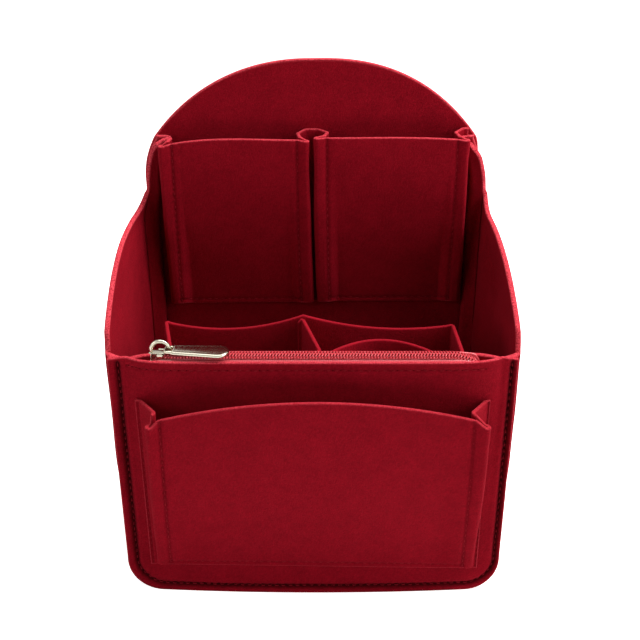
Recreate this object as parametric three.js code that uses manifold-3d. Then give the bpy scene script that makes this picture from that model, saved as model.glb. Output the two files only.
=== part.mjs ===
// A felt organizer that stands inside a small backpack: a domed back, a gusset that makes
// both sides and the bottom, and a low front with a zipped pocket and folded felt pockets.
// Millimetres, +Z up, the front faces -Y, and the origin is the middle of the underside.

import * as THREE from 'three';
import { mergeVertices } from 'three/addons/utils/BufferGeometryUtils.js';
import Module from 'manifold-3d';

const wasm = await Module();
wasm.setup();

// Body: sizes from seam to seam, and the margin of felt left outside each seam
const bodyWidth = 208;
const bodyDepth = 125;
const backWidth = 200;
const shoulderWidth = 185.6;
const frontHeight = 156.5;
const shoulderHeight = 240.5;
const domeRise = 47.1;
const shoulderTaper = 26;
const cornerRadius = 18;
const seamMargin = 5.3;

// Felt and the clearances between pieces that touch
const felt = 3;
const pocketFelt = 2.2;
const seat = 0.3;

// Gusset: how its sides swell past the seams, and the S-curve of its upper edge
const sideSwell = 3.4;
const sideCrown = 2.6;
const seamRoll = 9;
const seamLip = 0.8;
const swellRise = 70;
const strapWidth = 6.5;
const strapDrop = 4.5;
const rimFillet = 10;
const rimDip = 9;
const rimDipStart = 5.5;
const rimDipEnd = 15;
const stepWidth = 0.5;

// Front wall and zipped pocket: both bow away from the zip between them
const frontRimDrop = 1;
const zipPocketRimRise = 1.5;
const wallBow = 6.2;
const zipPocketBow = 6.2;
const bowMargin = 3.5;

// Zip: tape, coil, slider and pull
const tapeThickness = 0.5;
const tapeOverlap = 9;
const tapeBend = 0.9;
const tapeInset = 11;
const coilWidth = 2.5;
const coilHeight = 2.5;
const coilPitch = 1.85;
const coilInset = 5;
const zipRise = 1.2;
const zipSlot = 1;
const sliderLength = 12.4;
const sliderNoseWidth = 7.2;
const sliderWidth = 8.2;
const sliderTailWidth = 7.4;
const sliderPlate = 1;
const sliderFlange = 0.8;
const sliderClearance = 0.3;
const postThickness = 0.5;
const postLength = 3.2;
const sliderInset = 5.5;
const bailRadius = 5;
const bailWire = 2;
const pullLength = 35;
const pullWidth = 12;
const pullThickness = 1.8;
const pullRimWidth = 1.2;
const pullRecess = 0.35;
const pullBar = 1.5;
const pullEyeWidth = 4.2;
const pullEyeClearance = 0.45;
const pullNeckWidth = 8.4;

// Front pocket: a strip folded into a bellows and a stitched fin at each side
const frontPocketInset = 6.2;
const frontPocketFlange = 3.6;
const frontPocketTuck = 10.6;
const frontPocketFin = 9;
const frontPocketFinSetback = 1.6;
const frontPocketFoot = 22.8;
const frontPocketDrop = 14.1;
const frontPocketRootDrop = 10.9;
const frontPocketFoldDrop = 16.2;
const frontPocketValleyDrop = 8.6;
const frontPocketStandOff = 15.5;
const frontPocketDraw = 1;
const finLean = 1.4;

// Back pockets: one strip across the back, folded the same way at the sides and in the middle
const backPocketInset = 3.8;
const backPocketFlange = 3;
const backPocketTuck = 1.6;
const backPocketFin = 8;
const backPocketFinSetback = 0.6;
const backPocketRise = 4.7;
const backPocketLength = 113.7;
const backPocketRootDrop = 4.4;
const backPocketFoldDrop = 6.2;
const backPocketAttachDrop = 0.7;
const backPocketMiddleDrop = 2.7;
const middleLoopRise = 0.8;
const backPocketStandOff = 14.5;
const backPocketDraw = 6.5;
const middleDraw = 0;
const middleLoopHalf = 7.4;
const middleValley = 9.6;
const middleFold = 2.6;
const middleRoot = 10.2;
const middleLoopRound = 4.5;

// Inner pockets behind the front wall
const innerPocketBack = 52;
const innerPocketFrontHalf = 79.5;
const innerPocketSplay = 6;
const innerPocketFlange = 7;
const innerPocketCornerDrop = 5.5;
const innerPocketPeakDrop = 1;
const innerPocketLegDrop = 2.9;
const innerPocketSag = 7;
const innerPocketPeakAt = -6;
const innerPocketRound = 5;
const dividerFrontAt = 3;
const dividerFlange = 8;
const dividerDrop = 2.1;
const cardPocketLeft = 9;
const cardPocketInset = 15.5;
const cardPocketReach = 14;
const cardPocketFlange = 4;
const cardPocketDrop = 1.9;
const cardPocketDepth = 92;

// Shares: how far along a curve things happen, and how quickly bows and folds open
const bowShare = 12;
const bowRiseShare = 1.3;
const openShare = 2.2;
const rollShare = 2.5;
const narrowTurnShare = 0.82;
const halfShare = 0.5;
const rimRiseShare = 0.488;
const nearlyStraightShare = 0.15;
const hairpinShare = 0.49;
const flangeShare = 0.999;
const bowPlaceShares = [0, 0.25, 0.5, 0.68, 0.8, 0.88, 0.93, 0.97, 1];
const rollPlaceShares = [0, 0.12, 0.3, 0.6, 1];
const sidePlaceShares = [1, 0.85, 0.7, 0.55, 0.4, 0.27, 0.14, 0];
const frontPocketPlaceShares = [0, 0.06, 0.2, 0.45, 0.72, 1];
const backPocketPlaceShares = [0, 0.06, 0.2, 0.5, 1];
const cardPocketPlaceShares = [0, 0.15, 0.4, 0.7, 1];

// Places worked out from the sizes above
const frontPlane = -bodyDepth / 2;
const backPlane = bodyDepth / 2;
const cornerHeight = seamMargin + cornerRadius;
const halfBody = bodyWidth / 2;
const zipPocketPlane = frontPlane - seat - pocketFelt;
const bowHalf = halfBody - bowMargin;
const domeHeight = shoulderHeight + domeRise;
const rimRise = (shoulderHeight - frontHeight) * rimRiseShare;
const frontRim = frontHeight - frontRimDrop;
const zipPocketRim = frontHeight + zipPocketRimRise;
const zipHeight = frontHeight + zipRise;
const tapeHalfLength = halfBody - tapeInset;
const coilHalfLength = tapeHalfLength - coilInset;
const sliderRest = sliderInset - coilHalfLength;
const zipMiddle = frontPlane + (wallBow - zipPocketBow - seat) / 2;
const coilBottom = zipHeight - coilHeight / 2;
const tapeLevel = coilBottom - seat - tapeThickness / 2;
const channelHeight = coilHeight + tapeThickness + seat + 2 * sliderClearance;
const channelBottom = tapeLevel - tapeThickness / 2 - sliderClearance;
const sliderTop = channelBottom + channelHeight + sliderPlate;
const pullHeight = sliderTop + sliderClearance + pullThickness / 2;
const insideFloor = seamMargin + felt + seat;

// Folds of the pockets, from the middle outward, and the heights of their rims
const frontPocketFlangeEnd = halfBody - frontPocketInset;
const frontPocketAttach = frontPocketFlangeEnd - frontPocketFlange;
const frontPocketValley = frontPocketAttach - frontPocketTuck;
const frontPocketRoot = frontPocketValley - frontPocketFinSetback;
const frontPocketFold = frontPocketRoot + frontPocketFin;
const frontPocketRim = frontHeight - frontPocketDrop;
const frontPocketRootRim = frontPocketRim - frontPocketRootDrop;
const frontPocketFoldRim = frontPocketRim - frontPocketFoldDrop;
const frontPocketValleyRim = frontPocketRim - frontPocketValleyDrop;
const backPocketFlangeEnd = shoulderWidth / 2 - backPocketInset;
const backPocketAttach = backPocketFlangeEnd - backPocketFlange;
const backPocketValley = backPocketAttach - backPocketTuck;
const backPocketRoot = backPocketValley + backPocketFinSetback;
const backPocketFold = backPocketRoot + backPocketFin;
const backPocketRim = shoulderHeight + backPocketRise;
const backPocketFoot = backPocketRim - backPocketLength;
const backPocketRootRim = backPocketRim - backPocketRootDrop;
const backPocketFoldRim = backPocketRim - backPocketFoldDrop;
const backPocketAttachRim = backPocketRim - backPocketAttachDrop;
const backPocketMiddleRim = backPocketRim - backPocketMiddleDrop;
const middleLoopRim = backPocketRim + middleLoopRise;
const innerPocketBackHalf = innerPocketFrontHalf + innerPocketSplay;
const innerPocketCornerRim = frontHeight - innerPocketCornerDrop;
const innerPocketPeakRim = frontHeight - innerPocketPeakDrop;
const innerPocketLegRim = frontHeight - innerPocketLegDrop;
const dividerRim = frontHeight - dividerDrop;
const cardPocketRight = innerPocketFrontHalf - cardPocketInset;
const cardPocketRim = frontHeight - cardPocketDrop;

const feltRed = new THREE.MeshStandardMaterial({ color: 0x8e0f1e, roughness: 0.95, metalness: 0 });
const pocketRed = new THREE.MeshStandardMaterial({ color: 0x9a1122, roughness: 0.95, metalness: 0 });
const innerRed = new THREE.MeshStandardMaterial({ color: 0x7c0b18, roughness: 0.95, metalness: 0 });
const tapeRed = new THREE.MeshStandardMaterial({ color: 0xb3182c, roughness: 0.5, metalness: 0 });
const coilRed = new THREE.MeshStandardMaterial({ color: 0xc01a2e, roughness: 0.35, metalness: 0 });
const nickel = new THREE.MeshStandardMaterial({ color: 0xc9c6b4, roughness: 0.25, metalness: 1 });

const lerp = THREE.MathUtils.lerp;
const clamp = THREE.MathUtils.clamp;

/** Shares from 0 to 1 in equal steps. */
function shares(steps) {
  return Array.from({ length: steps + 1 }, (_, i) => i / steps);
}

/** A geometry from points and triangles, with its faces turned outward. */
function finish(points, triangles) {
  let volume = 0;
  const cross = new THREE.Vector3();
  for (const [a, b, c] of triangles) {
    volume += points[a].dot(cross.crossVectors(points[b], points[c]));
  }
  const order = volume > 0 ? triangles : triangles.map(([a, b, c]) => [a, c, b]);
  const geometry = new THREE.BufferGeometry();
  const places = points.flatMap((p) => [p.x, p.y, p.z]);
  geometry.setAttribute('position', new THREE.Float32BufferAttribute(places, 3));
  geometry.setIndex(order.flat());
  geometry.computeVertexNormals();
  return geometry;
}

/** A closed sheet with two faces, pointOn(across, up, face), joined all round its edge. */
function sheet(acrossShares, upShares, pointOn) {
  const points = [];
  const triangles = [];
  const columns = acrossShares.length;
  const rows = upShares.length;
  for (const face of [0, 1]) {
    for (const up of upShares) {
      for (const across of acrossShares) {
        points.push(pointOn(across, up, face));
      }
    }
  }
  const at = (face, row, column) => (face * rows + row) * columns + column;
  const quad = (a, b, c, d) => triangles.push([a, b, c], [a, c, d]);
  for (let row = 0; row < rows - 1; row += 1) {
    for (let column = 0; column < columns - 1; column += 1) {
      quad(at(0, row, column), at(0, row, column + 1), at(0, row + 1, column + 1), at(0, row + 1, column));
      quad(at(1, row, column), at(1, row + 1, column), at(1, row + 1, column + 1), at(1, row, column + 1));
    }
    const last = columns - 1;
    quad(at(0, row, 0), at(0, row + 1, 0), at(1, row + 1, 0), at(1, row, 0));
    quad(at(0, row, last), at(1, row, last), at(1, row + 1, last), at(0, row + 1, last));
  }
  const top = rows - 1;
  for (let column = 0; column < columns - 1; column += 1) {
    quad(at(0, 0, column), at(1, 0, column), at(1, 0, column + 1), at(0, 0, column + 1));
    quad(at(0, top, column), at(0, top, column + 1), at(1, top, column + 1), at(1, top, column));
  }
  return finish(points, triangles);
}

/** The triangles that fill one ring of points, from the ring's flat outline. */
function outlineCap(outline) {
  const triangles = THREE.ShapeUtils.triangulateShape(outline, []);
  return THREE.ShapeUtils.area(outline) < 0 ? triangles.map(([a, b, c]) => [a, c, b]) : triangles;
}

/** The triangles that fill the end of a strip, whose ring runs up one side and back down the other. */
function stripCap(count) {
  const triangles = [];
  for (let i = 0; i < count / 2 - 1; i += 1) {
    const across = count - 1 - i;
    triangles.push([i, i + 1, across], [i + 1, across - 1, across]);
  }
  return triangles;
}

/** A solid through closed rings of points, with the same cap on its first and last ring. */
function ringLoft(rings, cap) {
  const points = rings.flat();
  const count = rings[0].length;
  const lastStart = (rings.length - 1) * count;
  const triangles = [];
  for (let ring = 0; ring < rings.length - 1; ring += 1) {
    for (let i = 0; i < count; i += 1) {
      const next = (i + 1) % count;
      const here = ring * count;
      const above = here + count;
      triangles.push([here + i, here + next, above + next], [here + i, above + next, above + i]);
    }
  }
  for (const [a, b, c] of cap) {
    triangles.push([a, c, b], [a + lastStart, b + lastStart, c + lastStart]);
  }
  return finish(points, triangles);
}

/** A strip's middle line seen from above: corners with a round become arcs, and rims follow. */
function foldedPath(corners, steps) {
  const path = [];
  corners.forEach((corner, i) => {
    const before = corners[i - 1];
    const after = corners[i + 1];
    if (!before || !after || !corner.round) {
      path.push({ x: corner.x, y: corner.y, rim: corner.rim });
      return;
    }
    const here = new THREE.Vector2(corner.x, corner.y);
    const toBefore = new THREE.Vector2(before.x, before.y).sub(here).normalize();
    const toAfter = new THREE.Vector2(after.x, after.y).sub(here).normalize();
    const turn = Math.PI - Math.acos(clamp(toBefore.dot(toAfter), -1, 1));
    const bisector = toBefore.clone().add(toAfter).normalize();
    const centre = here.clone().addScaledVector(bisector, corner.round / Math.cos(turn / 2));
    const reach = corner.round * Math.max(Math.tan(turn / 2), nearlyStraightShare);
    const start = here.clone().addScaledVector(toBefore, reach);
    const end = here.clone().addScaledVector(toAfter, reach);
    const soft = new THREE.QuadraticBezierCurve(start, here, end);
    const sweep = Math.sign(toAfter.cross(toBefore)) * turn;
    const nearlyStraight = Math.tan(turn / 2) < nearlyStraightShare;
    for (const share of shares(steps)) {
      const spot = nearlyStraight ? soft.getPoint(share) : start.clone().rotateAround(centre, sweep * share);
      path.push({ x: spot.x, y: spot.y, rim: corner.rim });
    }
  });
  return path;
}

/** The outline of a strip of the given thickness along a middle line, and each point's rim. */
function stripOutline(path, thickness) {
  const sides = [[], []];
  path.forEach((spot, i) => {
    const before = path[Math.max(i - 1, 0)];
    const after = path[Math.min(i + 1, path.length - 1)];
    const arriving = new THREE.Vector2(spot.x - before.x, spot.y - before.y).normalize();
    const leaving = new THREE.Vector2(after.x - spot.x, after.y - spot.y).normalize();
    const along = arriving.clone().add(leaving).normalize();
    const stretch = i > 0 && i < path.length - 1 ? 1 / along.dot(leaving) : 1;
    const half = (thickness / 2) * stretch;
    sides[0].push({ x: spot.x - along.y * half, y: spot.y + along.x * half, rim: spot.rim });
    sides[1].push({ x: spot.x + along.y * half, y: spot.y - along.x * half, rim: spot.rim });
  });
  return [...sides[0], ...sides[1].reverse()];
}

/** A folded strip standing from its foot to its rim; cornersAt(height share) gives its folds. */
function foldedStrip(cornersAt, thickness, foot, heightShares, steps) {
  const outlines = heightShares.map((share) => stripOutline(foldedPath(cornersAt(share), steps), thickness));
  const rings = outlines.map((outline, i) => {
    const share = heightShares[i];
    return outline.map((spot) => new THREE.Vector3(spot.x, spot.y, lerp(foot, spot.rim, share)));
  });
  return ringLoft(rings, stripCap(rings[0].length));
}

/** A library solid from a geometry. */
function solidOf(geometry) {
  const bare = geometry.clone();
  bare.deleteAttribute('normal');
  bare.deleteAttribute('uv');
  const merged = mergeVertices(bare);
  const vertProperties = new Float32Array(merged.attributes.position.array);
  const triVerts = new Uint32Array(merged.index.array);
  return new wasm.Manifold(new wasm.Mesh({ numProp: 3, vertProperties, triVerts }));
}

/** The geometry of a library solid. */
function geometryOf(solid) {
  const mesh = solid.getMesh();
  const geometry = new THREE.BufferGeometry();
  geometry.setAttribute('position', new THREE.BufferAttribute(new Float32Array(mesh.vertProperties), 3));
  geometry.setIndex(new THREE.BufferAttribute(new Uint32Array(mesh.triVerts), 1));
  geometry.computeVertexNormals();
  return geometry;
}

/** A box between two corners. */
function boxBetween(low, high) {
  const size = high.clone().sub(low);
  const middle = low.clone().add(high).divideScalar(2);
  return new THREE.BoxGeometry(size.x, size.y, size.z).translate(middle.x, middle.y, middle.z);
}

function named(name, geometry, material) {
  const mesh = new THREE.Mesh(geometry, material);
  mesh.name = name;
  return mesh;
}

/** Half the back's width at a height: straight sides that draw in toward the dome's foot. */
function backHalfWidth(z) {
  const climb = clamp((z - (shoulderHeight - shoulderTaper)) / shoulderTaper, 0, 1);
  return backWidth / 2 - ((backWidth - shoulderWidth) / 2) * climb * climb;
}

/** The height of the gusset's upper edge at a depth: sunk at the front seam, then a rising curve and the strap. */
function rimHeight(y) {
  const fromFront = y - frontPlane;
  const run = bodyDepth - strapWidth;
  if (fromFront > run) {
    return shoulderHeight - strapDrop * (1 - (fromFront - run) / strapWidth);
  }
  const climb = clamp(fromFront / run, 0, 1);
  const intoFillet = Math.max(0, fromFront - (run - rimFillet));
  const fillet = rimFillet - Math.sqrt(rimFillet * rimFillet - intoFillet * intoFillet);
  const sunk = rimDip * (1 - THREE.MathUtils.smoothstep(fromFront, rimDipStart, rimDipEnd));
  return frontHeight + rimRise * (1 - (1 - climb) * (1 - climb)) + fillet - sunk;
}

/** How far the front wall or the zipped pocket bows out at a place. */
function bowAt(bow, x, z) {
  const side = clamp(Math.abs(x) / bowHalf, 0, 1);
  return bow * (1 - side ** bowShare) * clamp(z / frontHeight, 0, 1) ** bowRiseShare;
}

/** The outer face of the zipped pocket's panel. */
function zipPocketFace(x, z) {
  return zipPocketPlane - bowAt(zipPocketBow, x, z);
}

/** The back panel: an upright sheet with rounded lower corners and a domed top. */
function backPanel() {
  const half = backWidth / 2 + seamMargin;
  const footHalf = shoulderWidth / 2 + seamMargin;
  const round = cornerRadius + seamMargin;
  const rise = domeHeight - shoulderHeight;
  const domeRadius = (footHalf * footHalf + rise * rise) / (2 * rise);
  const domeAngle = Math.asin(footHalf / domeRadius);
  const outline = new THREE.Shape();
  outline.moveTo(half - round, 0);
  outline.absarc(half - round, round, round, -Math.PI / 2, 0, false);
  for (const share of shares(8)) {
    const z = lerp(shoulderHeight - shoulderTaper, shoulderHeight, share);
    outline.lineTo(backHalfWidth(z) + seamMargin, z);
  }
  outline.absarc(0, domeHeight - domeRadius, domeRadius, Math.PI / 2 - domeAngle, Math.PI / 2 + domeAngle, false);
  for (const share of shares(8)) {
    const z = lerp(shoulderHeight, shoulderHeight - shoulderTaper, share);
    outline.lineTo(-backHalfWidth(z) - seamMargin, z);
  }
  outline.absarc(-half + round, round, round, Math.PI, Math.PI * 1.5, false);
  outline.closePath();
  const plate = new THREE.ExtrudeGeometry(outline, { depth: felt, bevelEnabled: false, curveSegments: 14 });
  plate.rotateX(Math.PI / 2);
  plate.translate(0, backPlane + felt, 0);
  return geometryOf(solidOf(plate));
}

/** The gusset: both sides and the bottom in one strip, with its seam margins turned outward. */
function gusset() {
  const front = frontPlane + felt + seat;
  const back = backPlane - seat;
  const run = backPlane - strapWidth;
  const wallStart = front + felt;
  const wallEnd = back - felt;
  const near = rollPlaceShares.map((share) => wallStart + seamRoll * share);
  const middle = shares(8).slice(1, -1).map((share) => lerp(wallStart + seamRoll, run - rimFillet, share));
  const fillet = shares(5).map((share) => run - rimFillet * (1 - Math.sin((share * Math.PI) / 2)));
  const depths = [...near, ...middle, ...fillet.slice(0, -1), run, run + stepWidth, wallEnd];

  /** Offset of the outer face from the seam line, and its slope. */
  const swell = (y, amount) => {
    const toSeam = Math.min(y - wallStart, wallEnd - y);
    const rolled = clamp(toSeam / seamRoll, 0, 1);
    const along = (y - wallStart) / (wallEnd - wallStart);
    const crown = sideCrown * amount * Math.sin(Math.PI * clamp(along, 0, 1));
    const full = seamMargin + sideSwell * amount - seamLip;
    const slope = (full / seamRoll) * rollShare * (1 - rolled) ** (rollShare - 1);
    return { out: seamLip + full * (1 - (1 - rolled) ** rollShare) + crown, slope };
  };

  /** The section as pairs of outward offset and depth, for a share of the sides' swelling. */
  const section = (amount) => {
    const outer = depths.map((y) => [swell(y, amount).out, y]);
    const inner = depths.map((y) => {
      const { out, slope } = swell(y, amount);
      return [out - felt * Math.hypot(1, slope * halfShare), y];
    });
    const turn = -felt / 2 + seamLip;
    return [
      [seamMargin, front], [seamMargin, front + felt * flangeShare], ...outer,
      [seamMargin, back - felt * flangeShare], [seamMargin, back], [turn, back],
      ...inner.reverse(), [turn, front],
    ];
  };

  const along = (y) => clamp((y - frontPlane) / bodyDepth, 0, 1);
  const halfAt = (y, z) => lerp(halfBody, backHalfWidth(z), along(y));
  const amountAt = (z) => THREE.MathUtils.smoothstep(z, cornerHeight, cornerHeight + swellRise);
  const rings = [];
  const sideRing = (sign, share) => section(0).map(([, y], i) => {
    const z = lerp(cornerHeight, rimHeight(y), share);
    const [out] = section(amountAt(z))[i];
    return new THREE.Vector3(sign * (halfAt(y, z) + out), y, z);
  });
  const cornerRing = (sign, share) => section(0).map(([out, y]) => {
    const angle = (share * Math.PI) / 2;
    const reach = cornerRadius + out;
    const x = halfAt(y, 0) - cornerRadius + reach * Math.cos(angle);
    return new THREE.Vector3(sign * x, y, cornerHeight - reach * Math.sin(angle));
  });
  for (const share of sidePlaceShares) {
    rings.push(sideRing(-1, share));
  }
  for (const share of shares(5).slice(1)) {
    rings.push(cornerRing(-1, share));
  }
  for (const share of shares(5).slice(1).reverse()) {
    rings.push(cornerRing(1, share));
  }
  for (const share of [...sidePlaceShares].reverse()) {
    rings.push(sideRing(1, share));
  }
  return ringLoft(rings, outlineCap(section(0).map(([out, y]) => new THREE.Vector2(out, y))));
}

/** Places across the front: close together at the rounded corners and where the bow starts. */
function frontAcross() {
  const half = halfBody + seamMargin;
  const round = cornerRadius + seamMargin;
  const corner = shares(6).map((share) => half - round * (1 - Math.sin((share * Math.PI) / 2)));
  const bowed = bowPlaceShares.map((share) => share * bowHalf);
  const right = [...bowed, ...corner.filter((x) => x > bowHalf + felt / 2)];
  right[right.length - 1] = half;
  return [...right.slice(1).map((x) => -x).reverse(), ...right];
}

/** A front piece: a bowed sheet with rounded lower corners, given by its outer face and rim. */
function frontSheet(faceAt, thickness, rim) {
  const half = halfBody + seamMargin;
  const round = cornerRadius + seamMargin;
  const footAt = (x) => {
    const into = Math.max(0, Math.abs(x) - (half - round));
    return round - Math.sqrt(Math.max(0, round * round - into * into));
  };
  const rimAt = (x) => lerp(rim, frontHeight, clamp((Math.abs(x) - bowHalf) / (half - bowHalf), 0, 1));
  return sheet(frontAcross(), shares(8), (x, up, face) => {
    const z = lerp(footAt(x), rimAt(x), up);
    return new THREE.Vector3(x, faceAt(x, z) + face * thickness, z);
  });
}

/** The folds of one side of a pocket, from its flange to the root of its stitched fin. */
function pocketSide(sizes, share) {
  const open = 1 - (1 - share) ** openShare;
  const { sign, faceAt, toward, thickness } = sizes;
  const lift = thickness + seat;
  const flat = (x) => faceAt(x) + toward * (seat + thickness / 2);
  const foldLevel = lerp(flat(sizes.valley) + toward * 2 * lift, faceAt(0) + toward * sizes.standOff, open);
  const lean = toward * finLean * open;
  const round = lift * hairpinShare;
  const drawn = (x) => sign * (x - sizes.draw * (1 - share));
  const flangeMiddle = (sizes.end + sizes.attach) / 2;
  return {
    level: foldLevel,
    corners: [
      { x: sign * sizes.end, y: flat(sizes.end), rim: sizes.attachRim },
      { x: sign * flangeMiddle, y: flat(flangeMiddle), rim: sizes.attachRim },
      { x: sign * sizes.attach, y: flat(sizes.attach), rim: sizes.attachRim, round: lerp(round, sizes.loopRound, open) },
      { x: drawn(sizes.valley), y: foldLevel - toward * 2 * lift, rim: sizes.valleyRim, round },
      { x: drawn(sizes.valley), y: foldLevel - toward * lift, rim: sizes.valleyRim, round },
      { x: drawn(sizes.fold), y: foldLevel - toward * lift + lean, rim: sizes.foldRim, round },
      { x: drawn(sizes.fold), y: foldLevel + lean, rim: sizes.foldRim, round },
      { x: drawn(sizes.root), y: foldLevel, rim: sizes.rootRim },
    ],
  };
}

/** The front pocket: bellows at both sides, a crowned face, and everything flat at the foot. */
function frontPocket() {
  const cornersAt = (share) => {
    const open = 1 - (1 - share) ** openShare;
    const z = lerp(frontPocketFoot, frontPocketValleyRim, share);
    const sizes = {
      faceAt: (x) => zipPocketFace(x, z),
      toward: -1,
      thickness: pocketFelt,
      end: frontPocketFlangeEnd,
      attach: frontPocketAttach,
      valley: frontPocketValley,
      fold: frontPocketFold,
      root: frontPocketRoot,
      standOff: frontPocketStandOff,
      draw: frontPocketDraw,
      loopRound: pocketFelt,
      attachRim: frontPocketValleyRim,
      valleyRim: frontPocketValleyRim,
      foldRim: frontPocketFoldRim,
      rootRim: frontPocketRootRim,
    };
    const left = pocketSide({ ...sizes, sign: -1 }, share);
    const right = pocketSide({ ...sizes, sign: 1 }, share);
    const low = zipPocketFace(0, z) - seat - pocketFelt / 2;
    const face = shares(10).slice(1, -1).map((at) => {
      const side = 2 * at - 1;
      const inward = 1 - Math.abs(side);
      const settle = clamp(inward / (1 - narrowTurnShare), 0, 1);
      const level = lerp(left.level, lerp(low, left.level, open), settle);
      const rim = lerp(frontPocketRim, frontPocketRootRim, Math.abs(side) ** 2);
      return { x: side * (frontPocketRoot - frontPocketDraw * (1 - share)), y: level, rim };
    });
    return [...left.corners, ...face, ...right.corners.reverse()];
  };
  return foldedStrip(cornersAt, pocketFelt, frontPocketFoot, frontPocketPlaceShares, 3);
}

/** Both back pockets: one strip with fins at the sides and a loop between two fins in the middle. */
function backPockets() {
  const thickness = pocketFelt;
  const cornersAt = (share) => {
    const open = 1 - (1 - share) ** openShare;
    const outer = {
      faceAt: () => backPlane,
      toward: -1,
      thickness,
      end: backPocketFlangeEnd,
      attach: backPocketAttach,
      valley: backPocketValley,
      fold: backPocketFold,
      root: backPocketRoot,
      standOff: backPocketStandOff,
      draw: backPocketDraw,
      loopRound: thickness * halfShare,
      attachRim: backPocketAttachRim,
      valleyRim: backPocketAttachRim,
      foldRim: backPocketFoldRim,
      rootRim: backPocketRootRim,
    };
    const middle = {
      ...outer,
      end: 0,
      attach: middleLoopHalf,
      valley: middleValley,
      fold: middleFold,
      root: middleRoot,
      draw: middleDraw,
      loopRound: middleLoopRound,
      attachRim: middleLoopRim,
      valleyRim: (middleLoopRim + backPocketMiddleRim) / 2,
      foldRim: backPocketMiddleRim,
      rootRim: backPocketMiddleRim,
    };
    const half = (sign) => {
      const side = pocketSide({ ...outer, sign }, share);
      const loop = pocketSide({ ...middle, sign }, share);
      const low = backPlane - seat - thickness / 2;
      const face = shares(6).slice(1, -1).map((at) => {
        const crown = 1 - (2 * at - 1) ** 2;
        const settle = clamp(Math.min(at, 1 - at) / (1 - narrowTurnShare), 0, 1);
        const level = lerp(side.level, lerp(low, side.level, open), settle);
        const edge = lerp(backPocketRootRim, backPocketMiddleRim, at);
        const outerRoot = backPocketRoot - backPocketDraw * (1 - share);
        return { x: sign * lerp(outerRoot, middleRoot, at), y: level, rim: lerp(edge, backPocketRim, crown) };
      });
      return [...side.corners, ...face, ...loop.corners.reverse().slice(0, -1)];
    };
    return [...half(-1), ...half(1).reverse()];
  };
  return foldedStrip(cornersAt, thickness, backPocketFoot, backPocketPlaceShares, 3);
}

/** The rear face of the front wall at a place. */
function wallRearFace(x, z) {
  return frontPlane + felt + bowAt(wallBow, x, z);
}

/** The inner pockets' outer wall: two legs from the front wall and a rear run with two dips. */
function innerPocketWall() {
  const thickness = pocketFelt;
  const backLine = frontPlane + innerPocketBack;
  const cornersAt = (share) => {
    const z = lerp(insideFloor, frontHeight, share);
    const wallLine = (x) => wallRearFace(x, z) + seat + thickness / 2;
    const leg = (sign) => [
      { x: sign * (innerPocketFrontHalf - innerPocketFlange), y: wallLine(innerPocketFrontHalf), rim: innerPocketLegRim },
      { x: sign * innerPocketFrontHalf, y: wallLine(innerPocketFrontHalf), rim: innerPocketLegRim, round: thickness },
      { x: sign * innerPocketBackHalf, y: backLine, rim: innerPocketCornerRim, round: innerPocketRound },
    ];
    const run = (from, to, fromRim, toRim) => shares(6).slice(1, -1).map((at) => ({
      x: lerp(from, to, at),
      y: backLine,
      rim: lerp(fromRim, toRim, at) - innerPocketSag * 4 * at * (1 - at),
    }));
    return [
      ...leg(-1),
      ...run(-innerPocketBackHalf, innerPocketPeakAt, innerPocketCornerRim, innerPocketPeakRim),
      { x: innerPocketPeakAt, y: backLine, rim: innerPocketPeakRim },
      ...run(innerPocketPeakAt, innerPocketBackHalf, innerPocketPeakRim, innerPocketCornerRim),
      ...leg(1).reverse(),
    ];
  };
  return foldedStrip(cornersAt, thickness, insideFloor, shares(4), 3);
}

/** The divider between the two inner pockets, with a flange sewn to each wall. */
function innerPocketDivider() {
  const thickness = pocketFelt;
  const backLine = frontPlane + innerPocketBack - thickness - seat;
  const cornersAt = (share) => {
    const z = lerp(insideFloor, frontHeight, share);
    const wallLine = wallRearFace(dividerFrontAt, z) + seat + thickness / 2;
    return [
      { x: innerPocketPeakAt - dividerFlange, y: backLine, rim: dividerRim - innerPocketSag / 4 },
      { x: innerPocketPeakAt, y: backLine, rim: dividerRim, round: thickness },
      { x: dividerFrontAt, y: wallLine, rim: dividerRim, round: thickness },
      { x: dividerFrontAt - dividerFlange, y: wallLine, rim: dividerRim },
    ];
  };
  return foldedStrip(cornersAt, thickness, insideFloor, shares(4), 3);
}

/** The card pocket on the front wall's inner face: a bowed strip between two flanges. */
function cardPocket() {
  const thickness = pocketFelt;
  const foot = cardPocketRim - cardPocketDepth;
  const middle = (cardPocketLeft + cardPocketRight) / 2;
  const half = (cardPocketRight - cardPocketLeft) / 2;
  const cornersAt = (share) => {
    const z = lerp(foot, cardPocketRim, share);
    const open = 1 - (1 - share) ** openShare;
    const wallLine = (x) => wallRearFace(x, z) + seat + thickness / 2;
    const bowed = shares(8).map((at) => {
      const side = 2 * at - 1;
      const reach = cardPocketReach * open * (1 - side * side);
      return { x: middle + side * half, y: wallLine(middle + side * half) + reach, rim: cardPocketRim };
    });
    const left = cardPocketLeft - cardPocketFlange;
    const right = cardPocketRight + cardPocketFlange;
    return [
      { x: left, y: wallLine(left), rim: cardPocketRim },
      ...bowed,
      { x: right, y: wallLine(right), rim: cardPocketRim },
    ];
  };
  return foldedStrip(cornersAt, thickness, foot, cardPocketPlaceShares, 3);
}

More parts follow.
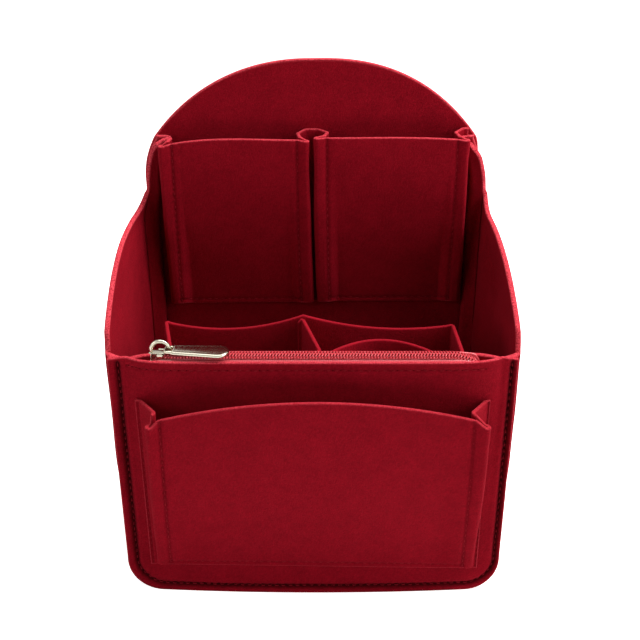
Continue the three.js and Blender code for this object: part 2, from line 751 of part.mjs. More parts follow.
/** Half of the zip's tape: sewn up inside the felt, bent over its edge, and flat under the coil. */
function zipTape(side) {
  const toFelt = (x, z) => {
    if (side < 0) {
      return zipPocketFace(x, z) + pocketFelt + seat + tapeThickness / 2;
    }
    return frontPlane + bowAt(wallBow, x, z) - seat - tapeThickness / 2;
  };
  const low = tapeLevel - tapeOverlap;
  const innerEdge = zipMiddle + side * zipSlot / 2;
  const lines = ['low', 'high', 'bend', 'flat', 'edge'];
  return sheet(shares(16).map((share) => lerp(-tapeHalfLength, tapeHalfLength, share)), lines, (x, line, face) => {
    const upright = toFelt(x, tapeLevel);
    const bend = Math.min(tapeBend, Math.abs(innerEdge - upright) / 2);
    const half = (face - 0.5) * tapeThickness;
    const inward = -side;
    if (line === 'low') {
      return new THREE.Vector3(x, toFelt(x, low) + inward * half, low);
    }
    if (line === 'high') {
      return new THREE.Vector3(x, toFelt(x, tapeLevel - bend) + inward * half, tapeLevel - bend);
    }
    if (line === 'bend') {
      const diagonal = (1 - Math.SQRT1_2) * bend;
      return new THREE.Vector3(
        x,
        upright + inward * (diagonal + half * Math.SQRT1_2),
        tapeLevel - diagonal - half * Math.SQRT1_2,
      );
    }
    if (line === 'flat') {
      return new THREE.Vector3(x, upright + inward * bend, tapeLevel - half);
    }
    return new THREE.Vector3(x, innerEdge, tapeLevel - half);
  });
}

/** Half of the nylon coil: a ribbed run whose turns swell and narrow along the tape. */
function zipCoil(side) {
  const turns = Math.round((2 * coilHalfLength) / coilPitch);
  const inner = zipMiddle + (side * zipSlot) / 2;
  const centre = inner + (side * coilWidth) / 2;
  const corners = [[-1, -1], [1, -1], [1, 1], [-1, 1]];
  const section = (swell) => corners.map(([across, up]) => new THREE.Vector2(
    centre + (coilWidth / 2) * swell * across,
    coilBottom + (coilHeight / 2) * (1 + swell * up),
  ));
  const rings = shares(2 * turns).map((share, i) => {
    const swell = i % 2 === 0 ? narrowTurnShare : 1;
    const x = lerp(-coilHalfLength, coilHalfLength, share);
    return section(swell).map((spot) => new THREE.Vector3(x, spot.x, spot.y));
  });
  return ringLoft(rings, outlineCap(section(1)));
}

/** The slider: two plates joined by a post, with flanges that close round the coil. */
function sliderBody() {
  const half = sliderLength / 2;
  const outline = new THREE.Shape();
  outline.moveTo(-half, -sliderNoseWidth / 2);
  outline.quadraticCurveTo(-half * halfShare, -sliderWidth / 2, 0, -sliderWidth / 2);
  outline.quadraticCurveTo(half * halfShare, -sliderWidth / 2, half, -sliderTailWidth / 2);
  outline.lineTo(half, sliderTailWidth / 2);
  outline.quadraticCurveTo(half * halfShare, sliderWidth / 2, 0, sliderWidth / 2);
  outline.quadraticCurveTo(-half * halfShare, sliderWidth / 2, -half, sliderNoseWidth / 2);
  outline.closePath();
  const height = channelHeight + 2 * sliderPlate;
  const block = new THREE.ExtrudeGeometry(outline, { depth: height, bevelEnabled: false, curveSegments: 6 });
  block.translate(0, 0, channelBottom - sliderPlate);
  const channelHalf = zipSlot / 2 + coilWidth + sliderClearance;
  const channel = boxBetween(
    new THREE.Vector3(-sliderLength, -channelHalf, channelBottom),
    new THREE.Vector3(sliderLength, channelHalf, channelBottom + channelHeight),
  );
  const slotTop = tapeLevel + tapeThickness / 2 + sliderClearance;
  const slot = boxBetween(
    new THREE.Vector3(-sliderLength, -sliderWidth, channelBottom),
    new THREE.Vector3(sliderLength, sliderWidth, slotTop),
  );
  const post = boxBetween(
    new THREE.Vector3(-half + sliderFlange, -postThickness / 2, channelBottom - sliderPlate / 2),
    new THREE.Vector3(-half + sliderFlange + postLength, postThickness / 2, channelBottom + channelHeight + sliderPlate / 2),
  );
  return geometryOf(solidOf(block).subtract(solidOf(channel)).subtract(solidOf(slot)).add(solidOf(post)));
}

/** The half circle that the bail's wire follows. */
class BailCurve extends THREE.Curve {
  getPoint(t, target = new THREE.Vector3()) {
    const angle = Math.PI * (1 - t);
    return target.set(bailRadius * Math.cos(angle), 0, bailRadius * Math.sin(angle));
  }
}

/** The slider's bail: a half ring of wire with two short legs to the top plate. */
function sliderBail() {
  const wire = new THREE.Shape();
  wire.absarc(0, 0, bailWire / 2, 0, Math.PI * 2, false);
  const arch = new THREE.ExtrudeGeometry(wire, { steps: 14, curveSegments: 5, extrudePath: new BailCurve() });
  arch.translate(0, 0, pullHeight);
  const legHeight = pullHeight - sliderTop - seat;
  const legs = [-1, 1].map((sign) => {
    const leg = new THREE.CylinderGeometry(bailWire / 2, bailWire / 2, legHeight + seat, 10);
    leg.rotateX(Math.PI / 2);
    return leg.translate(sign * bailRadius, 0, sliderTop + seat + (legHeight + seat) / 2);
  });
  return geometryOf(legs.reduce((all, leg) => all.add(solidOf(leg)), solidOf(arch)));
}

/** The pull: a flat tab that widens from its eye round the bail to a round end, with a raised rim. */
function pullTab() {
  const eyeOuter = bailRadius + bailWire / 2 + pullEyeClearance;
  const eyeInner = bailRadius - bailWire / 2 - pullEyeClearance;
  const start = eyeInner - pullBar;
  const end = start + pullLength;
  const outlineOf = (inset) => {
    const round = pullWidth / 2 - inset;
    const bend = end - pullWidth / 2;
    const from = inset === 0 ? start : eyeOuter + pullRimWidth;
    const neck = lerp(pullNeckWidth, pullWidth, (from - start) / (bend - start)) / 2 - inset;
    const shape = new THREE.Shape();
    shape.moveTo(from, -neck);
    shape.lineTo(bend, -round);
    shape.absarc(bend, 0, round, -Math.PI / 2, Math.PI / 2, false);
    shape.lineTo(from, neck);
    shape.closePath();
    return shape;
  };
  const plateOf = (shape, low, high) => {
    const plate = new THREE.ExtrudeGeometry(shape, { depth: high - low, bevelEnabled: false, curveSegments: 8 });
    return solidOf(plate.translate(0, 0, low));
  };
  const half = pullThickness / 2;
  const blank = plateOf(outlineOf(0), -half, half);
  const upper = plateOf(outlineOf(pullRimWidth), half - pullRecess, half + pullRecess);
  const lower = plateOf(outlineOf(pullRimWidth), -half - pullRecess, -half + pullRecess);
  const eye = boxBetween(
    new THREE.Vector3(eyeInner, -pullEyeWidth / 2, -pullThickness),
    new THREE.Vector3(eyeOuter, pullEyeWidth / 2, pullThickness),
  );
  return geometryOf(blank.subtract(upper).subtract(lower).subtract(solidOf(eye)));
}

const organizer = new THREE.Group();
organizer.name = 'backpack_organizer';
organizer.add(named('back_panel', backPanel(), feltRed));
organizer.add(named('side_and_bottom_gusset', gusset(), feltRed));
organizer.add(named('front_wall', frontSheet((x, z) => frontPlane + bowAt(wallBow, x, z), felt, frontRim), feltRed));
organizer.add(named('zip_pocket_panel', frontSheet(zipPocketFace, pocketFelt, zipPocketRim), pocketRed));
organizer.add(named('front_pocket', frontPocket(), pocketRed));
organizer.add(named('back_pockets', backPockets(), innerRed));
organizer.add(named('inner_pocket_wall', innerPocketWall(), innerRed));
organizer.add(named('inner_pocket_divider', innerPocketDivider(), innerRed));
organizer.add(named('card_pocket', cardPocket(), innerRed));
organizer.add(named('zip_tape_front', zipTape(-1), tapeRed));
organizer.add(named('zip_tape_rear', zipTape(1), tapeRed));
organizer.add(named('zip_coil_front', zipCoil(-1), coilRed));
organizer.add(named('zip_coil_rear', zipCoil(1), coilRed));

const slider = new THREE.Group();
slider.position.set(sliderRest, zipMiddle, 0);
slider.add(named('slider_body', sliderBody(), nickel));
slider.add(named('slider_bail', sliderBail(), nickel));
const pull = new THREE.Group();
pull.position.set(0, 0, pullHeight);
pull.add(named('pull_tab', pullTab(), nickel));
slider.add(pull);
organizer.add(slider);

export default organizer;
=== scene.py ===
# A felt organizer for a small backpack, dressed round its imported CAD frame.
# Metres, +Z up, the zipped front faces -Y, and the origin is the middle of the underside.
import math

import bpy
import numpy as np
from bpy.props import FloatProperty, FloatVectorProperty, PointerProperty
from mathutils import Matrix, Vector


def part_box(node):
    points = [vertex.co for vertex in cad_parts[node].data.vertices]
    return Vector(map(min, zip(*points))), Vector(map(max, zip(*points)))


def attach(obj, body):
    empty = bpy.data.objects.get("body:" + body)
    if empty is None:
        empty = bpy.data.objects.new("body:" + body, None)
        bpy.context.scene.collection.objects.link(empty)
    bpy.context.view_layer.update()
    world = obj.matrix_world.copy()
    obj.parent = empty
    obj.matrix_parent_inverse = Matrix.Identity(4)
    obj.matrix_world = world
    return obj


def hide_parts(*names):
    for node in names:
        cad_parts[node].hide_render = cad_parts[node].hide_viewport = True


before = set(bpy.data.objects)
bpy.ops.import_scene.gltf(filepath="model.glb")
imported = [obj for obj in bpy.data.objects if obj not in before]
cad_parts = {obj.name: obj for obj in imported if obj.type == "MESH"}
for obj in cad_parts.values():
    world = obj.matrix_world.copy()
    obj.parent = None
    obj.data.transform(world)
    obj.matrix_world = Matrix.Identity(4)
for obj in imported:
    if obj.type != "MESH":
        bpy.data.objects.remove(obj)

bl_info = {
    "name": "Backpack organizer",
    "version": (1, 0, 0),
    "blender": (4, 5, 0),
    "location": "View3D > Sidebar > Organizer",
    "description": "Builds a felt backpack organizer with folded pockets, stitching and a zip",
    "category": "Add Mesh",
}

MM = 0.001

# Driving sizes, read from the frame
BACK_LOW, BACK_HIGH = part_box("back_panel")
WALL_LOW, WALL_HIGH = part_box("front_wall")
PANEL_LOW, PANEL_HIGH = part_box("zip_pocket_panel")
POCKET_LOW, POCKET_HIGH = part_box("front_pocket")
REAR_LOW, REAR_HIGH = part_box("back_pockets")
INNER_LOW, INNER_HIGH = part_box("inner_pocket_wall")
CARD_LOW, CARD_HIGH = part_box("card_pocket")
TAPE_LOW, TAPE_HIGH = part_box("zip_tape_front")
COIL_LOW, COIL_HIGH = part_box("zip_coil_front")
SLIDER_LOW, SLIDER_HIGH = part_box("slider_body")
BAIL_LOW, BAIL_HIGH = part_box("slider_bail")
PULL_LOW, PULL_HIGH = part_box("pull_tab")
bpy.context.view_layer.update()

# Felt, seams and clearances
FELT = BACK_HIGH.y - BACK_LOW.y
POCKET_FELT = 2.2 * MM
GAP = 0.3 * MM
MARGIN = 5.3 * MM
CORNER = 15 * MM
LIP = 0.8 * MM
LAYER = POCKET_FELT + GAP

# Body: planes, halves and heights, worked out from the frame's boxes
BACK_FACE = BACK_LOW.y
FRONT_FACE = WALL_LOW.y
DEPTH = BACK_FACE - FRONT_FACE
HALF_BODY = WALL_HIGH.x - MARGIN
HALF_BACK = BACK_HIGH.x - MARGIN
HALF_SHOULDER = HALF_BACK - 7.2 * MM
FRONT_HEIGHT = WALL_HIGH.z
DOME_HEIGHT = BACK_HIGH.z
SHOULDER = DOME_HEIGHT - 47.1 * MM
TAPER = 26 * MM
OUTER_CORNER = CORNER + MARGIN

# Gusset: its swell past the seams and its upper edge
SWELL = 3.4 * MM
CROWN = 2.6 * MM
ROLL = 4.5 * MM
ROLL_POWER = 2.5
SWELL_RISE = 70 * MM
RIM_RISE = 41 * MM
STRAP = 6.5 * MM
STRAP_ROUND = 3.5 * MM
STRAP_LIFT = 1.6 * MM
FILLET = 16 * MM
RIM_DIP = 9 * MM
DIP_START = 10 * MM
DIP_END = 14.5 * MM
SIDE_LEAN = 2.2 * MM
SEAM_LEFT = 5.6 * MM
SEAM_RIGHT = 3.1 * MM
SEAM_FOOT = 4.2 * MM
DOME_LEFT = 1.4 * MM
DOME_RIGHT = 2.6 * MM

# How the body has settled sideways: how far each lean goes, the height where it starts, and its run
LEFT_FOOT = {"start": 195 * MM, "run": 30 * MM}
LEFT_STRAP = {"by": 4.6 * MM, "start": 190 * MM, "run": 22 * MM}
LEFT_TOP = {"by": 3 * MM, "start": 234 * MM, "run": 10 * MM}
RIGHT_WALL = {"by": 3 * MM, "start": 155 * MM, "run": 45 * MM}
RIGHT_STRAP = {"by": 1.6 * MM, "start": 205 * MM, "run": 25 * MM}
RIGHT_TOP = {"by": 7 * MM, "start": 228 * MM, "run": 14 * MM}
LEAN_FORWARD = 25 * MM
DEEP_START = 45 * MM
DEEP_RUN = 35 * MM

# Front wall and zipped panel
PANEL_PLANE = FRONT_FACE - GAP - POCKET_FELT
PANEL_BOW = PANEL_PLANE - PANEL_LOW.y
WALL_BOW = WALL_HIGH.y - FELT - FRONT_FACE
HALF_BOW = HALF_BODY - 3.5 * MM
BOW_POWER = 12
BOW_RISE = 1.3
PANEL_RIM = PANEL_HIGH.z
WALL_RIM = FRONT_HEIGHT - 1 * MM
FLARE_SIDE = 2.2 * MM
FLARE_MIDDLE = 6 * MM
FLARE_HEIGHT = 26 * MM

# Folds: how fast a pocket opens upward, and how its fins lean
OPENING = 2.2
FIN_LEAN = 1.4 * MM
HAIRPIN = 0.49
SETTLE = 0.18
NEARLY_STRAIGHT = 0.15
ARC_STEPS = 7
PUFF_SHARE = 0.35
BULGE_SHARE = 0.55
BULGE_RIM_SHARE = 0.6
FOOT_SEAM = 3 * MM
BESIDE = 0.6
FIN_SEWN = (0.02, 0.985)
FLANGE_SEWN = (0.03, 0.97)

# Inner pockets
INNER_FOOT = INNER_LOW.z
INNER_TALL = FRONT_HEIGHT - INNER_FOOT
INNER_BACK = INNER_HIGH.y - POCKET_FELT / 2
INNER_PEAK = -7 * MM

# Zip: the middle line, the coil and the hardware
ZIP_MIDDLE = (SLIDER_LOW.y + SLIDER_HIGH.y) / 2
HALF_COIL = COIL_HIGH.x
HALF_TAPE = TAPE_HIGH.x
TAPE_THICK = 0.5 * MM
TAPE_ROUND = 0.3 * MM
TAPE_BEAD = 2.7 * MM
TAPE_BEND = 1.2 * MM
TAPE_CLEAR = 0.35 * MM
TAPE_LEVEL = COIL_LOW.z - GAP - TAPE_THICK / 2
TAPE_FOOT = TAPE_LOW.z
SLIDER_X = (SLIDER_LOW.x + SLIDER_HIGH.x) / 2
BAIL_WIRE = 2 * MM
BAIL_RADIUS = (BAIL_HIGH.x - BAIL_LOW.x - BAIL_WIRE) / 2
PULL_LEVEL = (PULL_LOW.z + PULL_HIGH.z) / 2
PULL_YAW = 4.5
PULL_BAR = 1.5 * MM
PULL_NECK = 4.2 * MM
PULL_ROUND = 0.6 * MM
PULL_RIM = 1.3 * MM
PULL_STEP = 0.5 * MM
PULL_RISE = 2 * MM
FIELD_SUNK = 0.12 * MM
FIELD_CROWN = 0.3 * MM
BLADE_ROWS = (0, 0.004, 0.02, 0.05, 0.09)
EYE_INNER = BAIL_RADIUS - 1.45 * MM
EYE_OUTER = BAIL_RADIUS + 1.45 * MM
EYE_HALF = 2.1 * MM
BAR_SQUARE = 0.6
COIL_LIFT = 0.6 * MM
COIL_WIDTH = 3.2 * MM
COIL_OVERLAP = 0.5 * MM
TURN_SQUARE = 0.75
TURN_POINTS = 18
SLANT = 0.2
END_DROP = 5 * MM
LEFT_SINK = 8 * MM
RIGHT_SINK = 15 * MM
TAPE_TUCK = 7 * MM
UPRIGHT_SHARE = 0.4

# Cut edges of felt: how round they are, where the rows of faces lie on that round, and how pale they are,
# partly from opened fibres and partly painted highlight, set piece by piece
EDGE_ROUND = 0.9 * MM
EDGE_ROWS = (0, 0.05, 0.2, 0.5, 1)
EDGE_POWER = 2.6
CUT_SHARE = 0.12
CUT_FADE_SHARE = 0.3
INNER_CUT_HIGHLIGHT = 0.05
FRONT_POCKET_CUT_HIGHLIGHT = 0.35
POCKET_CUT_HIGHLIGHT = 0.7
BODY_CUT_HIGHLIGHT = 1.6

# Seams: rows of faces round a groove, the puckers between needle holes, how deep a groove must be for its
# painted shade to be full, and the share of that shade on the back
GROOVE = 1.1 * MM
GROOVE_ROWS = (-1.6, -0.9, -0.45, 0, 0.45, 0.9, 1.6)
PUCKER = 0.3
DARK_DEPTH = 2 * MM
DARK_BEHIND = 0.4
SEAM_END = 2 * MM
ZIP_ROW_DROP = 4.9 * MM
ZIP_ROW_LEFT = 2.7 * MM
ZIP_ROW_RIGHT = 12.9 * MM

# Stitches and needle holes
STITCH_SHARE = 0.5
STITCH_TURN = 0.06
STITCH_SHIFT = 0.08 * MM
HOLE_RIM = 0.1 * MM
HOLE_LIP = 0.07 * MM
HOLE_MIDDLE = 0.01 * MM
HOLE_DEPTH = 0.2 * MM

# How finely surfaces and lines are divided, how far even rows keep from the close rows of an edge or a
# groove, how calm felt is beside its edges, and what counts as nothing
FRONT_STEP = 1.5 * MM
BACK_STEP = 1.7 * MM
GUSSET_STEP = 1.9 * MM
INNER_STEP = 2 * MM
POCKET_STEP = 1.3 * MM
POCKET_ROW = 1.2 * MM
SEAM_STEP = 1.2 * MM
LAST_ROW = 1.2 * MM
EDGE_CLEAR = 1.4
ROW_CLEAR = 1.2
CLOSEST_ROWS = 0.02 * MM
SHOULDER_POINTS = 14
ROLL_SHARES = (0, 0.03, 0.08, 0.15, 0.25, 0.37, 0.5, 0.65, 0.82, 1)
FINE = 0.4 * MM
WAVE_LENGTH = 55 * MM
CALM = 14 * MM
TINY = 1e-12
TINY_SQUARE = 1e-18

# Finishes: directions of the felt's fibres in radians, and the size of what each finish shows
FIBRE_TURNS = ((0.2, 0.3, 0.1), (1.2, 0.5, 1.1), (0.4, 1.4, 2.3))
CLOUD = 10 * MM
SPECK = 0.8 * MM
PLY = 0.4 * MM
RIB = 1.2 * MM
STREAK = 2 * MM
TUMBLED = 1.2 * MM

# The stage: a paper sweep in metres, lamps as shares of the key lamp, and the photo's camera
FLOOR_FRONT = -2.5
FLOOR_RUN = 4.5
FLOOR_BEND = 0.8
FLOOR_RISE = 3.0
FLOOR_HALF = 3.5
PAPER_GLOW = 0.9
SURROUND = 0.06
LAMP_AIM = (0, 0, 0.12)
TOP_SHARE = 0.55
RIGHT_SHARE = 0.27
LEFT_SHARE = 0.21
CAMERA_PLACE = (2.8 * MM, -0.5433, 0.4241)
PITCH = 27
LENS = 57.66
SENSOR = 36


def linear(colour):
    """A linear colour from an sRGB hex value such as 8E0F1E."""
    parts = [int(colour[i:i + 2], 16) / 255 for i in (0, 2, 4)]
    return tuple(p / 12.92 if p <= 0.04045 else ((p + 0.055) / 1.055) ** 2.4 for p in parts)


class FeltSettings(bpy.types.PropertyGroup):
    """Colours and nap of the felt."""

    face: FloatVectorProperty(
        name="Face", description="Felt as it looks where light falls on it",
        subtype="COLOR", size=3, min=0, max=1, default=linear("9C0F20"))
    # Painted shade: felt in the shade between its fibres; seams and needle holes take their painted shade
    # from it too
    shade: FloatVectorProperty(
        name="Between fibres", description="Felt between its upper fibres",
        subtype="COLOR", size=3, min=0, max=1, default=linear("7C0716"))
    # The cut-edge colour: partly the fibres the blade opened, partly painted highlight
    cut: FloatVectorProperty(
        name="Cut edge", description="Paler felt where it was cut",
        subtype="COLOR", size=3, min=0, max=1, default=linear("E24C58"))
    fibre: FloatProperty(
        name="Fibre", description="Width of a fibre tuft", unit="LENGTH",
        default=0.8 * MM, min=0.2 * MM, max=4 * MM)


class StitchSettings(bpy.types.PropertyGroup):
    """Length and thickness of the stitches."""

    pitch: FloatProperty(
        name="Stitch", description="Length from one needle hole to the next", unit="LENGTH",
        default=4.4 * MM, min=1.5 * MM, max=8 * MM)
    thread: FloatProperty(
        name="Thread", description="Thickness of the thread", unit="LENGTH",
        default=0.56 * MM, min=0.2 * MM, max=1.5 * MM)
    colour: FloatVectorProperty(
        name="Thread colour", description="Polyester thread dyed to match the felt",
        subtype="COLOR", size=3, min=0, max=1, default=linear("A21D29"))


class ZipSettings(bpy.types.PropertyGroup):
    """Coil, tape and metal of the zip."""

    pitch: FloatProperty(
        name="Coil pitch", description="Length of one turn of the coil", unit="LENGTH",
        default=1.65 * MM, min=0.8 * MM, max=3 * MM)
    wire: FloatProperty(
        name="Coil wire", description="Thickness of the coil's nylon wire", unit="LENGTH",
        default=0.98 * MM, min=0.3 * MM, max=1.4 * MM)
    coil: FloatVectorProperty(
        name="Coil colour", description="Dyed nylon wire",
        subtype="COLOR", size=3, min=0, max=1, default=linear("C42431"))
    tape: FloatVectorProperty(
        name="Tape colour", description="Dyed polyester tape",
        subtype="COLOR", size=3, min=0, max=1, default=linear("DA4550"))
    metal: FloatVectorProperty(
        name="Slider colour", description="Nickel plating on zinc",
        subtype="COLOR", size=3, min=0, max=1, default=linear("BCB7A4"))


class StageSettings(bpy.types.PropertyGroup):
    """Light and floor."""

    key: FloatProperty(
        name="Key light", description="Power of the lamp high at the right", unit="POWER",
        default=18.0, min=0, max=100)
    floor: FloatVectorProperty(
        name="Floor", description="Paper under and behind the organizer",
        subtype="COLOR", size=3, min=0, max=1, default=linear("F3F3F3"))


# Shapes as arrays


def smooth(share):
    """An S-curve from 0 to 1: three times the share squared, less twice its cube."""
    share = np.clip(share, 0, 1)
    return share * share * (3 - 2 * share)


def blend(a, b, share):
    """The value a share of the way from a to b."""
    return a + (b - a) * share


def unit(vectors):
    """Vectors of length one along the last axis."""
    return vectors / np.maximum(np.linalg.norm(vectors, axis=-1, keepdims=True), TINY)


def places(length, step, fine=()):
    """Places along a length: even steps, with rows close together at both cut ends and each fine place."""
    edge = np.array(EDGE_ROWS) * EDGE_ROUND
    around = np.array(GROOVE_ROWS) * GROOVE
    even = np.linspace(0, length, max(2, round(length / step)) + 1)
    even = even[(even > edge[-1] * EDGE_CLEAR) & (even < length - edge[-1] * EDGE_CLEAR)]
    rows = [edge, length - edge]
    for place in fine:
        even = even[np.abs(even - place) > around[-1] * ROW_CLEAR]
        rows.append(place + around)
    every = np.unique(np.concatenate([even, *rows]))
    every = every[(every >= 0) & (every <= length)]
    return every[np.concatenate([[True], np.diff(every) > EDGE_ROUND / 50])]


def sway(points, wave, height, seed):
    """Slow waves over a surface: six sines of the place, in seeded directions and about a wave long, added
    up and divided by the square root of six."""
    count = 6
    rng = np.random.default_rng(seed)
    ways = unit(rng.normal(size=(count, 3)))
    lengths = wave * rng.uniform(0.6, 1.5, count)
    phases = rng.uniform(0, 2 * math.pi, count)
    angle = points @ (ways / lengths[:, None]).T * 2 * math.pi + phases
    return np.sin(angle).sum(-1) / math.sqrt(count) * height


def surface_normals(middle):
    """Unit normals of a grid of points: the cross product of its two directions."""
    across = np.gradient(middle, axis=1)
    up = np.gradient(middle, axis=0)
    return unit(np.cross(across, up))


def nearest(points, line, reach):
    """Distance from each point to a line of close points, and the index of the nearest one, within a
    reach. The points are taken in batches, so that little memory is used."""
    flat = points.reshape(-1, 3)
    close = ((flat > line.min(0) - reach) & (flat < line.max(0) + reach)).all(-1)
    found = np.full(len(flat), reach)
    index = np.zeros(len(flat), int)
    where = np.nonzero(close)[0]
    batch = 3000
    for first in range(0, len(where), batch):
        some = where[first:first + batch]
        gap = ((flat[some, None, :] - line[None]) ** 2).sum(-1)
        index[some] = gap.argmin(1)
        found[some] = np.minimum(np.sqrt(gap.min(1)), reach)
    return found.reshape(points.shape[:-1]), index.reshape(points.shape[:-1])


def closest(spots, cloud):
    """The index of the cloud's point nearest to each spot."""
    batch = 50
    return np.concatenate([
        ((spots[first:first + batch, None] - cloud[None]) ** 2).sum(-1).argmin(1)
        for first in range(0, len(spots), batch)
    ])


def every_cell(grid):
    """A mark for each cell of a grid of points, all of them kept."""
    return np.ones((grid.shape[0] - 1, grid.shape[1] - 1), bool)


def border_distance(middle, kept):
    """Distance of each grid point from the border of the kept cells, measured to its straight pieces."""
    padded = np.pad(kept, 1)
    level = padded[:-1, 1:-1] ^ padded[1:, 1:-1]
    upright = padded[1:-1, :-1] ^ padded[1:-1, 1:]
    start = np.concatenate([middle[:, :-1][level], middle[:-1][upright]])
    run = np.concatenate([middle[:, 1:][level], middle[1:][upright]]) - start
    square = np.maximum((run ** 2).sum(-1), TINY_SQUARE)
    flat = middle.reshape(-1, 3)
    found = []
    batch = 2000
    for first in range(0, len(flat), batch):
        gap = flat[first:first + batch, None, :] - start[None]
        share = np.clip((gap * run[None]).sum(-1) / square[None], 0, 1)
        found.append(np.linalg.norm(gap - share[..., None] * run[None], axis=-1).min(1))
    return np.concatenate(found).reshape(middle.shape[:2])


def cell_sides(kept):
    """Which grid points lie wholly among the kept cells, and which touch any of them."""
    padded = np.pad(kept, 1)
    around = np.stack([padded[:-1, :-1], padded[1:, :-1], padded[:-1, 1:], padded[1:, 1:]])
    return around.all(0), around.any(0)


def edge_profile(distance, reach, power=EDGE_POWER):
    """A share of full thickness, rising from nothing at the border on a quarter of a super-ellipse."""
    into = np.clip(distance / reach, 0, 1)
    return (1 - (1 - into) ** power) ** (1 / power)


def quads(index):
    """The four corners of every cell of a grid of point numbers."""
    return np.stack([index[:-1, :-1], index[:-1, 1:], index[1:, 1:], index[1:, :-1]], -1).reshape(-1, 4)


def closed_sheet(middle, normal, front, back, kept):
    """A closed sheet over the kept cells of a grid: two faces, front and back from the middle along the
    normal, joined at the border. Also says which grid points each face has."""
    inner, used = cell_sides(kept)
    top = np.full(used.shape, -1)
    top[used] = np.arange(used.sum())
    under = top.copy()
    under[inner] = used.sum() + np.arange(inner.sum())
    raised = middle + normal * front[..., None]
    sunk = middle - normal * back[..., None]
    points = np.concatenate([raised[used], sunk[inner]])
    faces = np.concatenate([quads(top)[kept.ravel()], quads(under)[kept.ravel()][:, ::-1]])
    return points, faces, inner, used


def capped(rings, first, last):
    """A closed skin over a run of rings, shut at each end by a fan round a point."""
    count, sides = rings.shape[:2]
    index = np.arange(count * sides).reshape(count, sides)
    wrapped = np.concatenate([index, index[:, :1]], 1)
    points = np.concatenate([rings.reshape(-1, 3), [first], [last]])
    start = np.stack([np.full(sides, count * sides), np.roll(index[0], -1), index[0]], -1)
    finish = np.stack([np.full(sides, count * sides + 1), index[-1], np.roll(index[-1], -1)], -1)
    return points, [quads(wrapped), start, finish]


def tube(path, radius, sides, reference):
    """A closed tube: circles of the given radius square to the path, turned from a reference direction."""
    along = unit(np.gradient(path, axis=0))
    first = unit(reference - (reference * along).sum(-1, keepdims=True) * along)
    second = np.cross(along, first)
    angle = np.arange(sides) / sides * 2 * math.pi
    radius = np.broadcast_to(radius, (len(path),))[:, None, None]
    ring = first[:, None] * np.cos(angle)[None, :, None] + second[:, None] * np.sin(angle)[None, :, None]
    return capped(path[:, None] + ring * radius, path[0], path[-1])


def run_lengths(line):
    """How far along a line each of its points lies."""
    return np.concatenate([[0], np.cumsum(np.linalg.norm(np.diff(line, axis=0), axis=1))])


def at_lengths(line, runs, lengths):
    """Points at lengths along a line whose own points lie at its run lengths."""
    return np.stack([np.interp(lengths, runs, values) for values in line.T], -1)


# Pieces and materials


def linked(name, data):
    """A new object in the scene, at the origin."""
    made = bpy.data.objects.new(name, data)
    bpy.context.scene.collection.objects.link(made)
    return made


def skin(name, points, faces, finish):
    """A smooth object from points and blocks of faces, with the material of a finish."""
    mesh = bpy.data.meshes.new(name)
    mesh.from_pydata(points.tolist(), [], [corners for block in faces for corners in block.tolist()])
    mesh.polygons.foreach_set("use_smooth", np.ones(len(mesh.polygons), bool))
    mesh.materials.append(material(finish))
    return linked(name, mesh)


def piece(name, points, faces, finish, body, cut=None, seam=None):
    """One named piece from points and blocks of faces, riding on a body. Each point can say how pale it is
    near a cut edge, partly painted highlight, and how much painted shade its seam groove gives it."""
    made = skin(name, points, faces, finish)
    for key, values in (("cut", cut), ("seam", seam)):
        if values is not None:
            shares = made.data.attributes.new(key, "FLOAT", "POINT")
            shares.data.foreach_set("value", values.astype(np.float32))
    made.data.validate()
    made.data.update()
    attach(made, body)
    return made


def material(finish):
    """The material that a finish draws in its node tree: it has the finish's name and is made once."""
    made = bpy.data.materials.get(finish.__name__)
    if made is None:
        made = bpy.data.materials.new(finish.__name__)
        made.use_nodes = True
        made.node_tree.nodes.clear()
        shader = finish(made.node_tree)
        add(made.node_tree, "ShaderNodeOutputMaterial", {"Surface": shader.outputs[0]})
    return made


def add(tree, kind, sockets=None, **settings):
    """Adds a node with its settings. Each socket that is named or numbered is linked to another node's
    output, or set to a plain value."""
    node = tree.nodes.new(kind)
    for key, value in settings.items():
        setattr(node, key, value)
    for key, value in (sockets or {}).items():
        if isinstance(value, bpy.types.NodeSocket):
            tree.links.new(value, node.inputs[key])
        else:
            node.inputs[key].default_value = value
    return node


def object_place(tree):
    """A place on the object itself."""
    return add(tree, "ShaderNodeTexCoord").outputs["Object"]


def noise(tree, place, size, detail=2, roughness=0.5, distortion=0):
    """Soft random spots of a given size."""
    return add(tree, "ShaderNodeTexNoise", {
        "Vector": place, "Scale": 1 / size, "Detail": detail, "Roughness": roughness,
        "Distortion": distortion,
    }).outputs["Fac"]


def worked_out(tree, operation, first, second):
    """Two node values made into one by an operation."""
    return add(tree, "ShaderNodeMath", {0: first, 1: second}, operation=operation).outputs[0]


def mixed(tree, share, low, high):
    """A node colour a share of the way from one colour to another."""
    return add(tree, "ShaderNodeMix", {0: share, 6: low, 7: high}, data_type="RGBA").outputs[2]


def bumped(tree, height, strength, distance):
    """The normals of a surface whose height a node value gives."""
    return add(tree, "ShaderNodeBump", {
        "Height": height, "Strength": strength, "Distance": distance}).outputs["Normal"]


def ranged(tree, value, source, target):
    """A node value carried from one range to another and kept inside it."""
    return add(tree, "ShaderNodeMapRange", {
        "Value": value, "From Min": source[0], "From Max": source[1],
        "To Min": target[0], "To Max": target[1],
    }).outputs["Result"]


def seen_rays(tree):
    """One for the rays that the camera, a reflection or a see-through surface looks along, and nothing for
    the rays that carry light to the felt."""
    ray = add(tree, "ShaderNodeLightPath")
    seen = ray.outputs["Is Camera Ray"]
    for kind in ("Is Glossy Ray", "Is Transmission Ray"):
        seen = worked_out(tree, "MAXIMUM", seen, ray.outputs[kind])
    return seen


def tone(colour, share=1):
    """A colour at a share of its brightness, with full alpha."""
    return (*(part * share for part in colour), 1)


